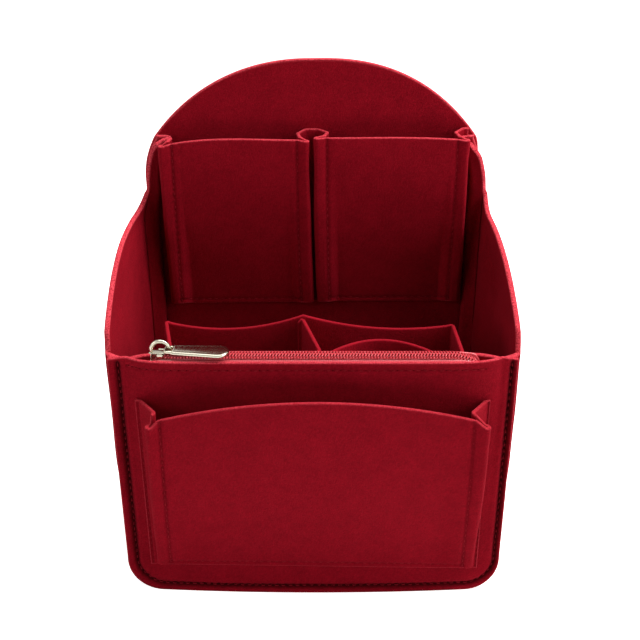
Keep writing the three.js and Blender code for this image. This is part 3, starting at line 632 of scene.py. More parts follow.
def needled_polyester_felt(tree):
    """Needle-punched polyester felt: matte, with a short nap of crossed fibres, deeper in colour where a
    seam presses it, and paler and speckled where it was cut."""
    felt = bpy.context.scene.organizer_felt
    place = object_place(tree)
    # Fibres: noise drawn out in three directions, so that each tuft is three times as long as it is wide
    nap = None
    for turn in FIBRE_TURNS:
        turned = add(tree, "ShaderNodeMapping", {
            "Vector": place, "Rotation": turn, "Scale": (1, 1, 3)}, vector_type="TEXTURE").outputs["Vector"]
        tufts = noise(tree, turned, felt.fibre, detail=3, roughness=0.65, distortion=0.4)
        nap = tufts if nap is None else worked_out(tree, "MAXIMUM", nap, tufts)
    tuft_height_and_shade = ranged(tree, nap, (0.45, 0.75), (0, 1))
    # Clouds: the felt is thicker and thinner every centimetre or so
    cloud = ranged(tree, noise(tree, place, CLOUD, detail=3), (0.3, 0.7), (-0.14, 0.14))
    height = worked_out(tree, "ADD", tuft_height_and_shade, cloud)
    # Colour: the lit felt colour on the tuft tops and painted shade between the tufts, over the felt's own
    # thicker and thinner clouds
    face = mixed(tree, height, tone(felt.shade), tone(felt.face))
    # Seams: painted shade in the grooves, deepest where they are drawn furthest in
    seam = add(tree, "ShaderNodeAttribute", attribute_name="seam").outputs["Fac"]
    sewn = mixed(tree, ranged(tree, seam, (0.1, 0.9), (0, 0.95)), face, tone(felt.shade, 0.2))
    # Cut edges: paler and speckled, partly where the blade opened the fibres and partly painted highlight
    edge = add(tree, "ShaderNodeAttribute", attribute_name="cut").outputs["Fac"]
    specks = ranged(tree, noise(tree, place, SPECK, detail=4, roughness=0.75), (0.4, 0.58), (0.15, 1))
    colour = mixed(tree, worked_out(tree, "MULTIPLY", edge, specks), sewn, tone(felt.cut))
    return add(tree, "ShaderNodeBsdfPrincipled", {
        "Base Color": colour, "Normal": bumped(tree, height, 0.6, 0.3 * MM), "Roughness": 0.95,
        "Specular IOR Level": 0.05, "Sheen Weight": 0.08, "Sheen Roughness": 0.45,
        "Sheen Tint": (0.9, 0.06, 0.1, 1),
    })


def spun_polyester_thread(tree):
    """Spun polyester thread: unevenly darkened with painted shade where its plies lie against each other,
    dyed like the felt and hardly glossier."""
    stitch = bpy.context.scene.organizer_stitch
    ply = noise(tree, object_place(tree), PLY)
    return add(tree, "ShaderNodeBsdfPrincipled", {
        "Base Color": mixed(tree, ply, tone(stitch.colour, 0.5), tone(stitch.colour)),
        "Normal": bumped(tree, ply, 0.4, 0.1 * MM), "Roughness": 0.85, "Specular IOR Level": 0.06,
    })


def needle_hole_shade(tree):
    """Felt drawn down round a needle hole: nearly black, because light hardly reaches it."""
    felt = bpy.context.scene.organizer_felt
    tuft = noise(tree, object_place(tree), felt.fibre)
    return add(tree, "ShaderNodeBsdfPrincipled", {
        "Base Color": mixed(tree, tuft, tone(felt.shade, 0.12), tone(felt.shade, 0.45)),
        "Roughness": 0.95, "Specular IOR Level": 0.05,
    })


def woven_polyester_tape(tree):
    """Woven polyester zip tape: ribs across its length and a satin gloss. Real threads are 0.25 mm apart;
    these are drawn wider apart, so that the weave shows."""
    zips = bpy.context.scene.organizer_zip
    # A wave texture of scale 1 has ten waves in pi metres
    ribs = add(tree, "ShaderNodeTexWave", {
        "Vector": object_place(tree), "Scale": math.pi / (10 * RIB), "Distortion": 0.4,
    }, wave_type="BANDS", bands_direction="X").outputs["Fac"]
    return add(tree, "ShaderNodeBsdfPrincipled", {
        "Base Color": mixed(tree, ribs, tone(zips.tape, 0.7), tone(zips.tape)),
        "Normal": bumped(tree, ribs, 0.5, 0.1 * MM), "Roughness": 0.36, "Specular IOR Level": 0.6,
        "Coat Weight": 0.25,
    })


def dyed_nylon_wire(tree):
    """Drawn nylon monofilament, dyed and heat-set: smooth, with a soft gloss and slow streaks of dye."""
    zips = bpy.context.scene.organizer_zip
    streak = noise(tree, object_place(tree), STREAK)
    return add(tree, "ShaderNodeBsdfPrincipled", {
        "Base Color": mixed(tree, streak, tone(zips.coil, 0.6), tone(zips.coil)),
        "Roughness": 0.46, "IOR": 1.53, "Coat Weight": 0.08,
    })


def nickel_plated_zinc(tree):
    """Nickel plating on die-cast zinc: bright, faintly yellow, and slightly uneven from tumbling."""
    zips = bpy.context.scene.organizer_zip
    cast = noise(tree, object_place(tree), TUMBLED, detail=3)
    return add(tree, "ShaderNodeBsdfPrincipled", {
        "Base Color": mixed(tree, cast, tone(zips.metal, 0.8), tone(zips.metal)),
        "Normal": bumped(tree, cast, 0.12, 0.1 * MM), "Roughness": ranged(tree, cast, (0, 1), (0.1, 0.22)),
        "Metallic": 1,
    })


def paper_sweep(tree):
    """Matte paper, lit and shaded, with a glow that only seen rays meet, so its unshaded part is white."""
    stage = bpy.context.scene.organizer_stage
    paper = add(tree, "ShaderNodeBsdfDiffuse", {"Color": tone(stage.floor)}).outputs[0]
    glow = add(tree, "ShaderNodeEmission", {"Strength": PAPER_GLOW}).outputs[0]
    both = add(tree, "ShaderNodeAddShader", {0: paper, 1: glow}).outputs[0]
    return add(tree, "ShaderNodeMixShader", {0: seen_rays(tree), 1: paper, 2: both})


# Felt sheets and sewing


def felt_piece(name, node, middle, thickness, seed, cut_highlight, grooves=(), wave=0.3 * MM, kept=None):
    """A felt sheet round a middle surface, drawn in along its seams and puckered between the needle holes.
    The deeper a seam is drawn in, the more painted shade it gets. Cut edges go the share called
    cut_highlight of the way to the colour of cut felt, which is partly opened fibres and partly painted
    highlight, and above one that colour reaches further in."""
    kept = every_cell(middle) if kept is None else kept
    pitch = bpy.context.scene.organizer_stitch.pitch
    normal = surface_normals(middle)
    distance = border_distance(middle, kept)
    calm = smooth(distance / CALM)
    middle = middle + normal * (sway(middle, WAVE_LENGTH, wave, seed) * calm)[..., None]
    half = thickness / 2 * edge_profile(distance, EDGE_ROUND)
    front = half.copy()
    back = half.copy()
    groove_shade = np.zeros_like(half)
    for seam in grooves:
        depth, width = seam["depth"], seam["width"]
        gap, index = nearest(middle, resample(seam["line"], FINE), 4 * width)
        pucker = 1 - PUCKER * np.cos(index * FINE / pitch * 2 * math.pi)
        press = np.exp(-(gap / width) ** 2) * smooth(distance / EDGE_ROUND)
        front -= depth * press * pucker
        back -= depth * press * seam["behind"]
        # Painted shade in the groove, by how deep it is drawn in
        groove_shade = np.maximum(groove_shade, press * min(depth / DARK_DEPTH, 1))
    points, faces, inner, used = closed_sheet(middle, normal, front, back, kept)
    into = distance / thickness
    # Cut edges: paleness that is partly opened fibres and partly painted highlight, set piece by piece
    edge = np.minimum(cut_highlight * (1 - smooth((into - CUT_SHARE) / CUT_FADE_SHARE)), 1)
    cut = np.concatenate([edge[used], edge[inner]])
    # Painted groove shade, weaker on the back face
    painted_groove_shade = np.concatenate([groove_shade[used], groove_shade[inner] * DARK_BEHIND])
    made = piece(name, points, [faces], needled_polyester_felt, "organizer", cut, painted_groove_shade)
    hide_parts(node)
    return {"front": middle + normal * front[..., None], "back": middle - normal * back[..., None],
            "normal": normal}


def groove(line, depth, width, behind):
    """A seam pressed into felt: its line, its depth and width in front, and the share of that depth by
    which the back is pressed in too, or pushed out where the share is below nothing."""
    return {"line": line, "depth": depth, "width": width, "behind": behind}


def settled(line, face, normal):
    """A line moved straight onto a face, and the face's normals along it: each point goes to the plane
    of the face's nearest grid point."""
    spots = resample(line, 2 * FINE)
    flat = face.reshape(-1, 3)
    index = closest(spots, flat)
    facing = normal.reshape(-1, 3)[index]
    off = ((spots - flat[index]) * facing).sum(-1, keepdims=True)
    return spots - off * facing, facing


def on_grid(grid, row, column):
    """Points of a grid at fractional rows and columns, blended from the four points round each."""
    row = np.clip(row, 0, grid.shape[0] - 1.001)
    column = np.clip(column, 0, grid.shape[1] - 1.001)
    r, c = row.astype(int), column.astype(int)
    fr, fc = (row - r)[:, None], (column - c)[:, None]
    low = blend(grid[r, c], grid[r, c + 1], fc)
    high = blend(grid[r + 1, c], grid[r + 1, c + 1], fc)
    return blend(low, high, fr)


def stitch_shape(stitch, sunk):
    """One stitch: a bowed tube that lies along X, thinner toward its ends."""
    steps = np.linspace(-1, 1, 7)
    bow = (0.4 - steps ** 4) * stitch.thread - sunk
    path = np.stack([steps * STITCH_SHARE / 2 * stitch.pitch, 0 * steps, bow], -1)
    return tube(path, stitch.thread / 2 * (1 - 0.25 * steps ** 4), 6, np.array([[0.0, 0.0, 1.0]]))


def hole_shape(stitch, sunk):
    """One needle hole: a flat oval bowl, longer along X, that carries the hole's painted shade."""
    angle = np.linspace(0, 2 * math.pi, 9)[:-1]
    tall, wide = 0.9 * stitch.thread, 0.7 * stitch.thread
    rim = np.stack([tall * np.cos(angle), wide * np.sin(angle), 0 * angle - HOLE_RIM], -1)
    lip = rim * (0.7, 0.7, 0) + (0, 0, HOLE_LIP)
    down = np.array([0, 0, sunk])
    return capped(np.stack([rim, lip]) - down, (0, 0, -HOLE_DEPTH) - down, (0, 0, HOLE_MIDDLE) - down)


def resample(line, step):
    """Points an even step apart along a line."""
    runs = run_lengths(line)
    count = max(2, int(round(runs[-1] / step)) + 1)
    return at_lengths(line, runs, np.linspace(0, runs[-1], count))


def stitch_rows(name, rows, seed, sunk=0.0):
    """Stitches along rows, whose ends sink into two needle holes, and the holes themselves, bowls of
    painted shade.
    """
    stitch = bpy.context.scene.organizer_stitch
    rng = np.random.default_rng(seed)
    threads, holes = [], []
    for line, facing in rows:
        spots = resample(line, stitch.pitch)
        out = facing[closest(spots, line)]
        holes.append((spots, unit(np.gradient(spots, axis=0)), out))
        middles = (spots[1:] + spots[:-1]) / 2
        threads.append((middles, unit(np.diff(spots, axis=0)), unit(out[1:] + out[:-1])))
    threads = [np.concatenate(part) for part in zip(*threads)]
    turn = rng.normal(0, STITCH_TURN, len(threads[0]))[:, None]
    shift = rng.normal(0, STITCH_SHIFT, len(threads[0]))[:, None]
    placed(name, stitch_shape(stitch, sunk), threads, turn, shift, spun_polyester_thread)
    holes = [np.concatenate(part) for part in zip(*holes)]
    placed(f"{name}_holes", hole_shape(stitch, sunk), holes, 0.0, 0.0, needle_hole_shade)


def placed(name, shape, spots, turn, shift, finish):
    """One piece made of copies of a small shape. Each has a centre, a direction to lie along and one to
    face, and is turned in its plane and shifted aside."""
    corners, blocks = shape
    centre, along, up = spots
    across = unit(np.cross(up, along))
    up = np.cross(along, across)
    turned = along * np.cos(turn) + across * np.sin(turn)
    aside = across * np.cos(turn) - along * np.sin(turn)
    centre = centre + aside * shift
    points = centre[:, None] + corners[None, :, :1] * turned[:, None]
    points = points + corners[None, :, 1:2] * aside[:, None] + corners[None, :, 2:] * up[:, None]
    first = (np.arange(len(centre)) * len(corners))[:, None, None]
    faces = [(block[None] + first).reshape(-1, block.shape[1]) for block in blocks]
    return piece(name, points.reshape(-1, 3), faces, finish, "organizer")


# Flat outlines


def along_line(line, shares):
    """Points at shares of a line's length."""
    runs = run_lengths(line)
    return at_lengths(line, runs, shares * runs[-1])


def arc(centre, radius, start, end, steps=16):
    """Points on a circle's arc between two angles in degrees."""
    angle = np.radians(np.linspace(start, end, steps))
    return np.stack([centre[0] + radius * np.cos(angle), centre[1] + radius * np.sin(angle)], -1)


def patch(bottom, top, left, right, us, vs):
    """A grid between four flat lines: the blend of both pairs of sides, less the blend of the corners."""
    low, high = along_line(bottom, us)[None], along_line(top, us)[None]
    west, east = along_line(left, vs)[:, None], along_line(right, vs)[:, None]
    u, v = us[None, :, None], vs[:, None, None]
    sides = low * (1 - v) + high * v + west * (1 - u) + east * u
    lower = bottom[0] * (1 - u) * (1 - v) + bottom[-1] * u * (1 - v)
    return sides - (lower + top[0] * (1 - u) * v + top[-1] * u * v)


def u_line(half, top, inset):
    """A flat U set in from an outline: down one side, round both lower corners and up the other side."""
    half, radius = half - inset, OUTER_CORNER - inset
    lower_left = arc((-half + radius, inset + radius), radius, 180, 270)
    lower_right = arc((half - radius, inset + radius), radius, 270, 360)
    return np.concatenate([[(-half, top)], lower_left, lower_right, [(half, top)]])


def rounded_foot(half, top):
    """An outline's lower half: left side, bottom and right side, split at the middle of each corner."""
    radius = OUTER_CORNER
    left_centre, right_centre = (-half + radius, radius), (half - radius, radius)
    left = np.concatenate([arc(left_centre, radius, 225, 180), [(-half, top)]])
    right = np.concatenate([arc(right_centre, radius, -45, 0), [(half, top)]])
    bottom = np.concatenate([arc(left_centre, radius, 225, 270), arc(right_centre, radius, 270, 315)])
    return left, bottom, right


# The body


def back_half_width(z):
    """Half the back's width at a height: straight sides that draw in by a square toward the dome's foot."""
    climb = np.clip((z - (SHOULDER - TAPER)) / TAPER, 0, 1)
    return HALF_BACK - (HALF_BACK - HALF_SHOULDER) * climb * climb


def drawn_in(points):
    """How far the body has settled sideways at each place: its left side out below the strap, its right
    side in toward the back and toward the strap, and both straps in, most at their front and top."""
    x, y, z = np.moveaxis(points, -1, 0)

    def come(lean):
        """How much of a lean has come at each height."""
        return smooth((z - lean["start"]) / lean["run"])

    forward = smooth((BACK_FACE - y) / LEAN_FORWARD)
    on_strap = np.clip((BACK_FACE - y) / STRAP, 0, 1)
    left = SIDE_LEAN * forward * (come(LEFT_FOOT) - 1)
    left += on_strap * (LEFT_STRAP["by"] * come(LEFT_STRAP) + LEFT_TOP["by"] * come(LEFT_TOP))
    deep = smooth((y - BACK_FACE + DEEP_START) / DEEP_RUN)
    right = -RIGHT_WALL["by"] * np.maximum(deep, come(RIGHT_WALL)) * (1 - come(RIGHT_TOP))
    right -= on_strap * (RIGHT_STRAP["by"] * come(RIGHT_STRAP) + RIGHT_TOP["by"] * come(RIGHT_TOP))
    return smooth(-x / HALF_BODY) * left + smooth(x / HALF_BODY) * right


def rim_height(y):
    """Height of the gusset's upper edge at a depth: sunk at the front seam, then a rising parabola that
    ends in a round fillet where the strap starts."""
    from_front = y - FRONT_FACE
    run = DEPTH - STRAP
    climb = np.clip(from_front / run, 0, 1)
    into = np.clip(from_front - (run - FILLET), 0, FILLET)
    curve = FRONT_HEIGHT + RIM_RISE * (1 - (1 - climb) ** 2) + FILLET - np.sqrt(FILLET ** 2 - into ** 2)
    return curve - RIM_DIP * (1 - smooth((from_front - DIP_START) / (DIP_END - DIP_START)))


def strap_height(y):
    """Height of the strap's top at a depth: nearly level, with its front corner cut round."""
    into = np.clip(STRAP_ROUND - (y - FRONT_FACE - DEPTH + STRAP), 0, STRAP_ROUND)
    return SHOULDER + STRAP_LIFT - STRAP_ROUND + np.sqrt(STRAP_ROUND ** 2 - into ** 2)


def bow_at(bow, x, z):
    """How far a front piece bows out: full over most of its width, nothing at the seams, more higher up."""
    side = np.clip(np.abs(x) / HALF_BOW, 0, 1)
    return bow * (1 - side ** BOW_POWER) * np.clip(z / FRONT_HEIGHT, 0, 1) ** BOW_RISE


def flare_at(x, z):
    """How far the lowest part of the front swings forward: most in the middle, nothing above the flare."""
    side = np.clip(np.abs(x) / HALF_BODY, 0, 1)
    amount = blend(FLARE_MIDDLE, FLARE_SIDE, side ** 2)
    return amount * (1 - smooth(z / FLARE_HEIGHT))


def panel_face(x, z):
    """Depth of the zipped panel's outer face at a place."""
    return PANEL_PLANE - bow_at(PANEL_BOW, x, z) - flare_at(x, z)


def wall_face(x, z):
    """Depth of the front wall's outer face at a place."""
    return FRONT_FACE + bow_at(WALL_BOW, x, z) - flare_at(x, z)


def lifted(flat, depth):
    """Flat points as points in space, at the depth that a function gives them."""
    return np.stack([flat[..., 0], depth(flat[..., 0], flat[..., 1]), flat[..., 1]], -1)


def dense(line):
    """A flat line with points an even step apart."""
    return along_line(line, np.linspace(0, 1, int(run_lengths(line)[-1] / SEAM_STEP) + 2))


def front_grid(rim, fine_up):
    """Flat grid of a front piece: rounded lower corners, straight sides and an upper edge at the rim."""
    half = HALF_BODY + MARGIN
    left, bottom, right = rounded_foot(half, FRONT_HEIGHT)
    x = np.linspace(-half, half, 120)
    fall = np.clip((np.abs(x) - HALF_BOW) / (half - HALF_BOW), 0, 1)
    top = np.stack([x, blend(rim, FRONT_HEIGHT, fall)], -1)
    us = places(2 * half, FRONT_STEP, (SEAM_LEFT, 2 * half - SEAM_RIGHT)) / (2 * half)
    vs = places(rim, FRONT_STEP, (SEAM_RIGHT, fine_up)) / rim
    return leaned(patch(bottom, top, left, right, us, vs))


def leaned(flat):
    """Flat points of the front as sewn: its left side stands out further than its right."""
    return flat - np.stack([SIDE_LEAN * smooth(-flat[..., 0] / HALF_BODY), 0 * flat[..., 0]], -1)


def body_seam():
    """The flat line of the seam round the front: nearer to the outline at the right and below than at the
    left, and ending just under the rim."""
    line = u_line(HALF_BODY + MARGIN, FRONT_HEIGHT - SEAM_END, SEAM_RIGHT)
    line[:, 0] += (SEAM_LEFT - SEAM_RIGHT) * smooth(-line[:, 0] / HALF_BODY)
    line[:, 1] += (SEAM_FOOT - SEAM_RIGHT) * (1 - smooth(line[:, 1] / (2 * OUTER_CORNER)))
    return leaned(dense(line))


def zip_row():
    """The flat line of the stitches that hold the zip's front tape, just under the panel's rim."""
    x = np.linspace(-HALF_BODY + ZIP_ROW_LEFT, HALF_BODY - ZIP_ROW_RIGHT, 160)
    return np.stack([x, PANEL_RIM - ZIP_ROW_DROP + 0 * x], -1)


def make_front():
    """The front wall and the zipped panel before it, with the grooves of the seam that joins them. Gives
    the rows of the body's seam and those of the zip, for their stitches."""
    seam = body_seam()
    row = zip_row()
    centre = np.array([0, POCKET_FELT / 2, 0])
    panel_middle = lifted(front_grid(PANEL_RIM, PANEL_RIM - ZIP_ROW_DROP), panel_face) + centre
    seam_line = lifted(seam, panel_face) + centre
    row_line = lifted(row, panel_face) + centre
    panel = felt_piece("zip_pocket_felt", "zip_pocket_panel", panel_middle, POCKET_FELT, 3, POCKET_CUT_HIGHLIGHT, [
        groove(seam_line, depth=2.6 * MM, width=1.5 * MM, behind=-0.7),
        groove(row_line, depth=0.5 * MM, width=0.9 * MM, behind=0.5),
    ])
    wall_middle = lifted(front_grid(WALL_RIM, WALL_RIM - ZIP_ROW_DROP), wall_face) + (0, FELT / 2, 0)
    wall_seam = lifted(seam, wall_face) + (0, FELT / 2, 0)
    wall = felt_piece("front_wall_felt", "front_wall", wall_middle, FELT, 4, POCKET_CUT_HIGHLIGHT, [
        groove(wall_seam, depth=1.2 * MM, width=1.5 * MM, behind=0),
    ])
    sewn = [settled(seam_line, panel["front"], panel["normal"])]
    return sewn, [
        settled(row_line, panel["front"], panel["normal"]),
        settled(lifted(row, wall_face) + (0, FELT, 0), wall["back"], -wall["normal"]),
    ]


def dome_line():
    """The flat line of the back's dome and drawn-in shoulders. The dome is a circle's arc, raised a little
    between its top and its feet, more at the right than at the left."""
    foot = HALF_SHOULDER + MARGIN
    rise = DOME_HEIGHT - SHOULDER
    radius = (foot * foot + rise * rise) / (2 * rise)
    angle = math.degrees(math.asin(foot / radius))
    dome = arc((0, DOME_HEIGHT - radius), radius, 90 + angle, 90 - angle, 80)
    share = np.abs(dome[:, 0] / foot) ** 1.4
    dome[:, 1] += np.where(dome[:, 0] > 0, DOME_RIGHT, DOME_LEFT) * 4 * share * (1 - share)
    z = np.linspace(SHOULDER - TAPER, SHOULDER, SHOULDER_POINTS)
    side = np.stack([back_half_width(z) + MARGIN, z], -1)
    return np.concatenate([side * (-1, 1), dome, side[::-1]])


def back_middle(flat):
    """Flat points as points in the middle of the back panel, drawn in with the body."""
    middle = lifted(flat, lambda x, z: BACK_FACE + FELT / 2 + 0 * x)
    middle[..., 0] += drawn_in(middle)
    return middle


def make_back():
    """The back panel: one upright sheet with rounded lower corners, drawn-in shoulders and a domed top."""
    half = HALF_BACK + MARGIN
    left, bottom, right = rounded_foot(half, SHOULDER - TAPER)
    outline = dome_line()
    top = outline[SHOULDER_POINTS:-SHOULDER_POINTS]
    left = np.concatenate([left[:-1], outline[:SHOULDER_POINTS], top[:1]])
    right = np.concatenate([right[:-1], outline[::-1][:SHOULDER_POINTS], top[-1:]])
    us = places(2 * half, BACK_STEP, (MARGIN, 2 * half - MARGIN)) / (2 * half)
    vs = places(SHOULDER, BACK_STEP, (MARGIN,)) / SHOULDER
    middle = back_middle(patch(bottom, top, left, right, us, vs))
    seam = back_middle(dense(u_line(half, SHOULDER - TAPER, MARGIN)))
    made = felt_piece("back_felt", "back_panel", middle, FELT, 5, BODY_CUT_HIGHLIGHT, [
        groove(seam, depth=0.9 * MM, width=1.3 * MM, behind=1.5),
    ], wave=0.15 * MM)
    return [settled(seam, made["back"], -made["normal"])]


def gusset_out(y, amount, start, end):
    """Offset of the gusset's outer face from the seam line, and its slope: a quick roll out at each seam
    and a low crown between them."""
    toward = np.minimum(y - start, end - y)
    rolled = np.clip(toward / ROLL, 0, 1)
    along = np.clip((y - start) / (end - start), 0, 1)
    crown = CROWN * amount * np.sin(math.pi * along)
    full = MARGIN + SWELL * amount - LIP
    out = LIP + full * (1 - (1 - rolled) ** ROLL_POWER) + crown
    slope = full / ROLL * ROLL_POWER * (1 - rolled) ** (ROLL_POWER - 1)
    slope = np.where(y - start < end - y, slope, -slope)
    return out, slope


def gusset_depths(start, end):
    """Depths across the gusset: close together at both rolls, at the rim's dip, in the fillet and behind
    the strap's front edge, and even between."""
    run = BACK_FACE - STRAP
    roll = ROLL * np.array(ROLL_SHARES)
    fillet = run - FILLET * (1 - np.sin(np.linspace(0, 1, 10)[:-1] * math.pi / 2))
    even = np.arange(start + ROLL + GUSSET_STEP, run - FILLET - GUSSET_STEP / 2, GUSSET_STEP)
    behind = run + np.array(EDGE_ROWS) * EDGE_ROUND
    plunge = FRONT_FACE + np.linspace(DIP_START, DIP_END, 9)
    even = even[even > plunge[-1] + GUSSET_STEP / 2]
    depth = np.unique(np.concatenate([start + roll, plunge, even, fillet, behind, end - roll[:7]]))
    return depth[np.concatenate([[True], np.diff(depth) > CLOSEST_ROWS])]


def half_at(y, z):
    """Half width of the gusset's seam line at a depth and height, between the front's and the back's."""
    return blend(HALF_BODY, back_half_width(z), np.clip((y - FRONT_FACE) / DEPTH, 0, 1))


def make_gusset():
    """Both sides and the bottom in one strip: margins turned outward at the seams, sides swelling between,
    and at each shoulder a strap that only the rearmost columns of the grid reach."""
    front = FRONT_FACE + FELT + GAP
    back = BACK_FACE - GAP
    start, end = front + FELT, back - FELT
    run = BACK_FACE - STRAP
    edge = np.array(EDGE_ROWS) * EDGE_ROUND
    flange = np.concatenate([edge, np.arange(1, 4) / 4 * (MARGIN - LIP - edge[-1]) + edge[-1]])
    depth = gusset_depths(start, end)
    turn = np.linspace(0, 1, 9)[1:-1]
    outer_columns = len(flange) + len(turn)

    def section(amount, size):
        """Offset and depth of the middle line for swell amounts given at each depth of the section."""
        out, slope = gusset_out(depth, amount, start, end)
        length = np.hypot(1, slope)
        front_arc = turn * np.arctan2(1, -slope[:, :1])
        back_arc = (turn * np.arctan2(1, slope[:, -1:]))[:, ::-1]
        ends = np.ones((size, 1))
        outs = [
            ends * (MARGIN - flange), LIP - FELT / 2 * np.sin(front_arc), out - FELT / 2 / length,
            LIP - FELT / 2 * np.sin(back_arc), ends * (MARGIN - flange[::-1]),
        ]
        ys = [
            ends * (front + FELT / 2) + 0 * flange, start - FELT / 2 * np.cos(front_arc),
            depth + FELT / 2 * slope / length,
            end + FELT / 2 * np.cos(back_arc), ends * (back - FELT / 2) + 0 * flange,
        ]
        return np.concatenate(outs, 1), np.concatenate(ys, 1)

    def flare_for(x, y, z):
        """How far the front margin swings forward with the front, fading to nothing past the roll."""
        return flare_at(x, z) * (1 - smooth((y - start) / (2 * ROLL)))

    tall = RIM_RISE + FRONT_HEIGHT - OUTER_CORNER
    low = places(tall, GUSSET_STEP)
    low = np.append(low[low < tall - LAST_ROW], tall)[:, None] / tall
    strap_tall = float(strap_height(run) - rim_height(run))
    high = places(strap_tall, GUSSET_STEP)
    high = high[high < strap_tall - LAST_ROW][:, None] / strap_tall

    def side(sign):
        """Rows of one side, from the strap's top down to the corner."""
        size = len(high) + len(low)
        _, flat_y = section(np.zeros((size, 1)), size)
        strap = blend(strap_height(flat_y[:1]), float(rim_height(run)), high)
        body = blend(rim_height(flat_y[:1]), OUTER_CORNER, low)
        z = np.concatenate([strap, body])
        amount = smooth((z[:, outer_columns:-outer_columns] - OUTER_CORNER) / SWELL_RISE)
        out, y = section(amount, size)
        x = sign * (half_at(y, z) + out)
        return np.stack([x, y - flare_for(x, y, z), z], -1)

    def corner(sign, shares):
        """Rows of one lower corner, round a circle's quarter."""
        out, y = section(np.zeros((len(shares), 1)), len(shares))
        angle = shares[:, None] * math.pi / 2
        reach = CORNER + out
        x = sign * (half_at(y, 0) - CORNER + reach * np.cos(angle))
        z = OUTER_CORNER - reach * np.sin(angle)
        return np.stack([x, y - flare_for(x, y, z), z], -1)

    quarter = np.linspace(0, 1, 19)[1:]
    lower_left = corner(-1, quarter)
    lower_right = corner(1, quarter[::-1])
    across = np.linspace(0, 1, 90)[1:-1, None, None]
    bottom = blend(lower_left[-1][None], lower_right[0][None], across)
    still = lower_left[-1][None]
    bottom[..., 1] -= flare_for(bottom[..., 0], bottom[..., 1], bottom[..., 2])
    bottom[..., 1] += flare_for(still[..., 0], still[..., 1], still[..., 2])
    middle = np.concatenate([side(-1), lower_left, bottom, lower_right, side(1)[::-1]])
    middle[..., 0] += drawn_in(middle)
    kept = every_cell(middle)
    strap_column = outer_columns + int(np.abs(depth - run).argmin())
    kept[:len(high), :strap_column] = False
    kept[-len(high):, :strap_column] = False
    felt_piece("gusset_felt", "side_and_bottom_gusset", middle, FELT, 6, BODY_CUT_HIGHLIGHT,
               wave=0.4 * MM, kept=kept)


# Folded pockets


def opening(share):
    """How far a pocket stands open at a share of its height: nothing at the foot, quickly more above it."""
    return 1 - (1 - share) ** OPENING


def fold(x, y, rim, foot=0.0, rounding=None):
    """One corner of a folded strip: its place at each height, its rim, how far its foot is dropped, and the
    radius that rounds it."""
    return {"x": x, "y": y, "rim": rim, "foot": foot, "rounding": rounding}


def folded_plan(corners, step):
    """A folded strip's middle line seen from above at each height: every rounded corner is a circular arc
    tangent to both its sides, written as a weighted parabola, and straight runs are divided evenly."""
    spots = [np.stack([c["x"] + 0 * c["y"], c["y"] + 0 * c["x"]], -1) for c in corners]
    plan, levels, marks = [], [], []
    for i, corner in enumerate(corners):
        here = spots[i]
        level = (corner["rim"], corner["foot"])
        if corner["rounding"] is None:
            marks.append(len(plan))
            plan.append(here)
            levels.append(level)
            continue
        marks.append(len(plan) + ARC_STEPS // 2)
        before, after = spots[i - 1] - here, spots[i + 1] - here
        back, ahead = unit(before), unit(after)
        turn = math.pi - np.arccos(np.clip((back * ahead).sum(-1, keepdims=True), -1, 1))
        room = np.minimum(np.linalg.norm(before, axis=-1), np.linalg.norm(after, axis=-1))
        reach = np.reshape(corner["rounding"], (-1, 1)) * np.maximum(np.tan(turn / 2), NEARLY_STRAIGHT)
        reach = np.minimum(reach, HAIRPIN * room[:, None])
        weight = np.cos(turn / 2)
        for t in np.linspace(0, 1, ARC_STEPS):
            a, b, c = (1 - t) ** 2, 2 * t * (1 - t) * weight, t * t
            plan.append((a * (here + back * reach) + b * here + c * (here + ahead * reach)) / (a + b + c))
            levels.append(level)
    return divided(plan, np.array(levels).T, marks, step)


def divided(plan, levels, marks, step):
    """The plan with its long runs divided, rows close together at both cut ends, and marks renumbered."""
    edge = np.array(EDGE_ROWS[1:]) * EDGE_ROUND
    points, heights, numbers = [], [], []
    for i, spot in enumerate(plan):
        numbers.append(len(points))
        points.append(spot)
        heights.append(levels[:, i])
        if i == len(plan) - 1:
            break
        length = np.linalg.norm(plan[i + 1] - spot, axis=-1).mean()
        shares = np.linspace(0, 1, max(1, math.ceil(length / step)) + 1)[1:-1]
        clear = edge[-1] / length * ROW_CLEAR
        if i == 0:
            shares = np.unique(np.concatenate([edge / length, shares[shares > clear]]))
        if i == len(plan) - 2:
            shares = np.unique(np.concatenate([shares[shares < 1 - clear], 1 - edge / length]))
        for share in shares:
            points.append(blend(spot, plan[i + 1], share))
            heights.append(blend(levels[:, i], levels[:, i + 1], share))
    return np.stack(points, 1), np.array(heights).T, [numbers[mark] for mark in marks]


def strip(corners_at, foot, tall, step, row_step, fine=()):
    """The middle surface of a folded strip standing from its foot to its rims, the columns of its folds,
    and the row of a seam just above its foot."""
    heights = places(tall, row_step, fine)
    shares = heights / tall
    plan, levels, marks = folded_plan(corners_at(shares), step)
    low = foot - levels[1][None]
    z = low + (levels[0][None] - low) * shares[:, None]
    middle = np.concatenate([plan, z[..., None]], -1)
    seam_row = np.interp(fine[0], heights, np.arange(len(heights))) if fine else 0
    return middle, marks, seam_row


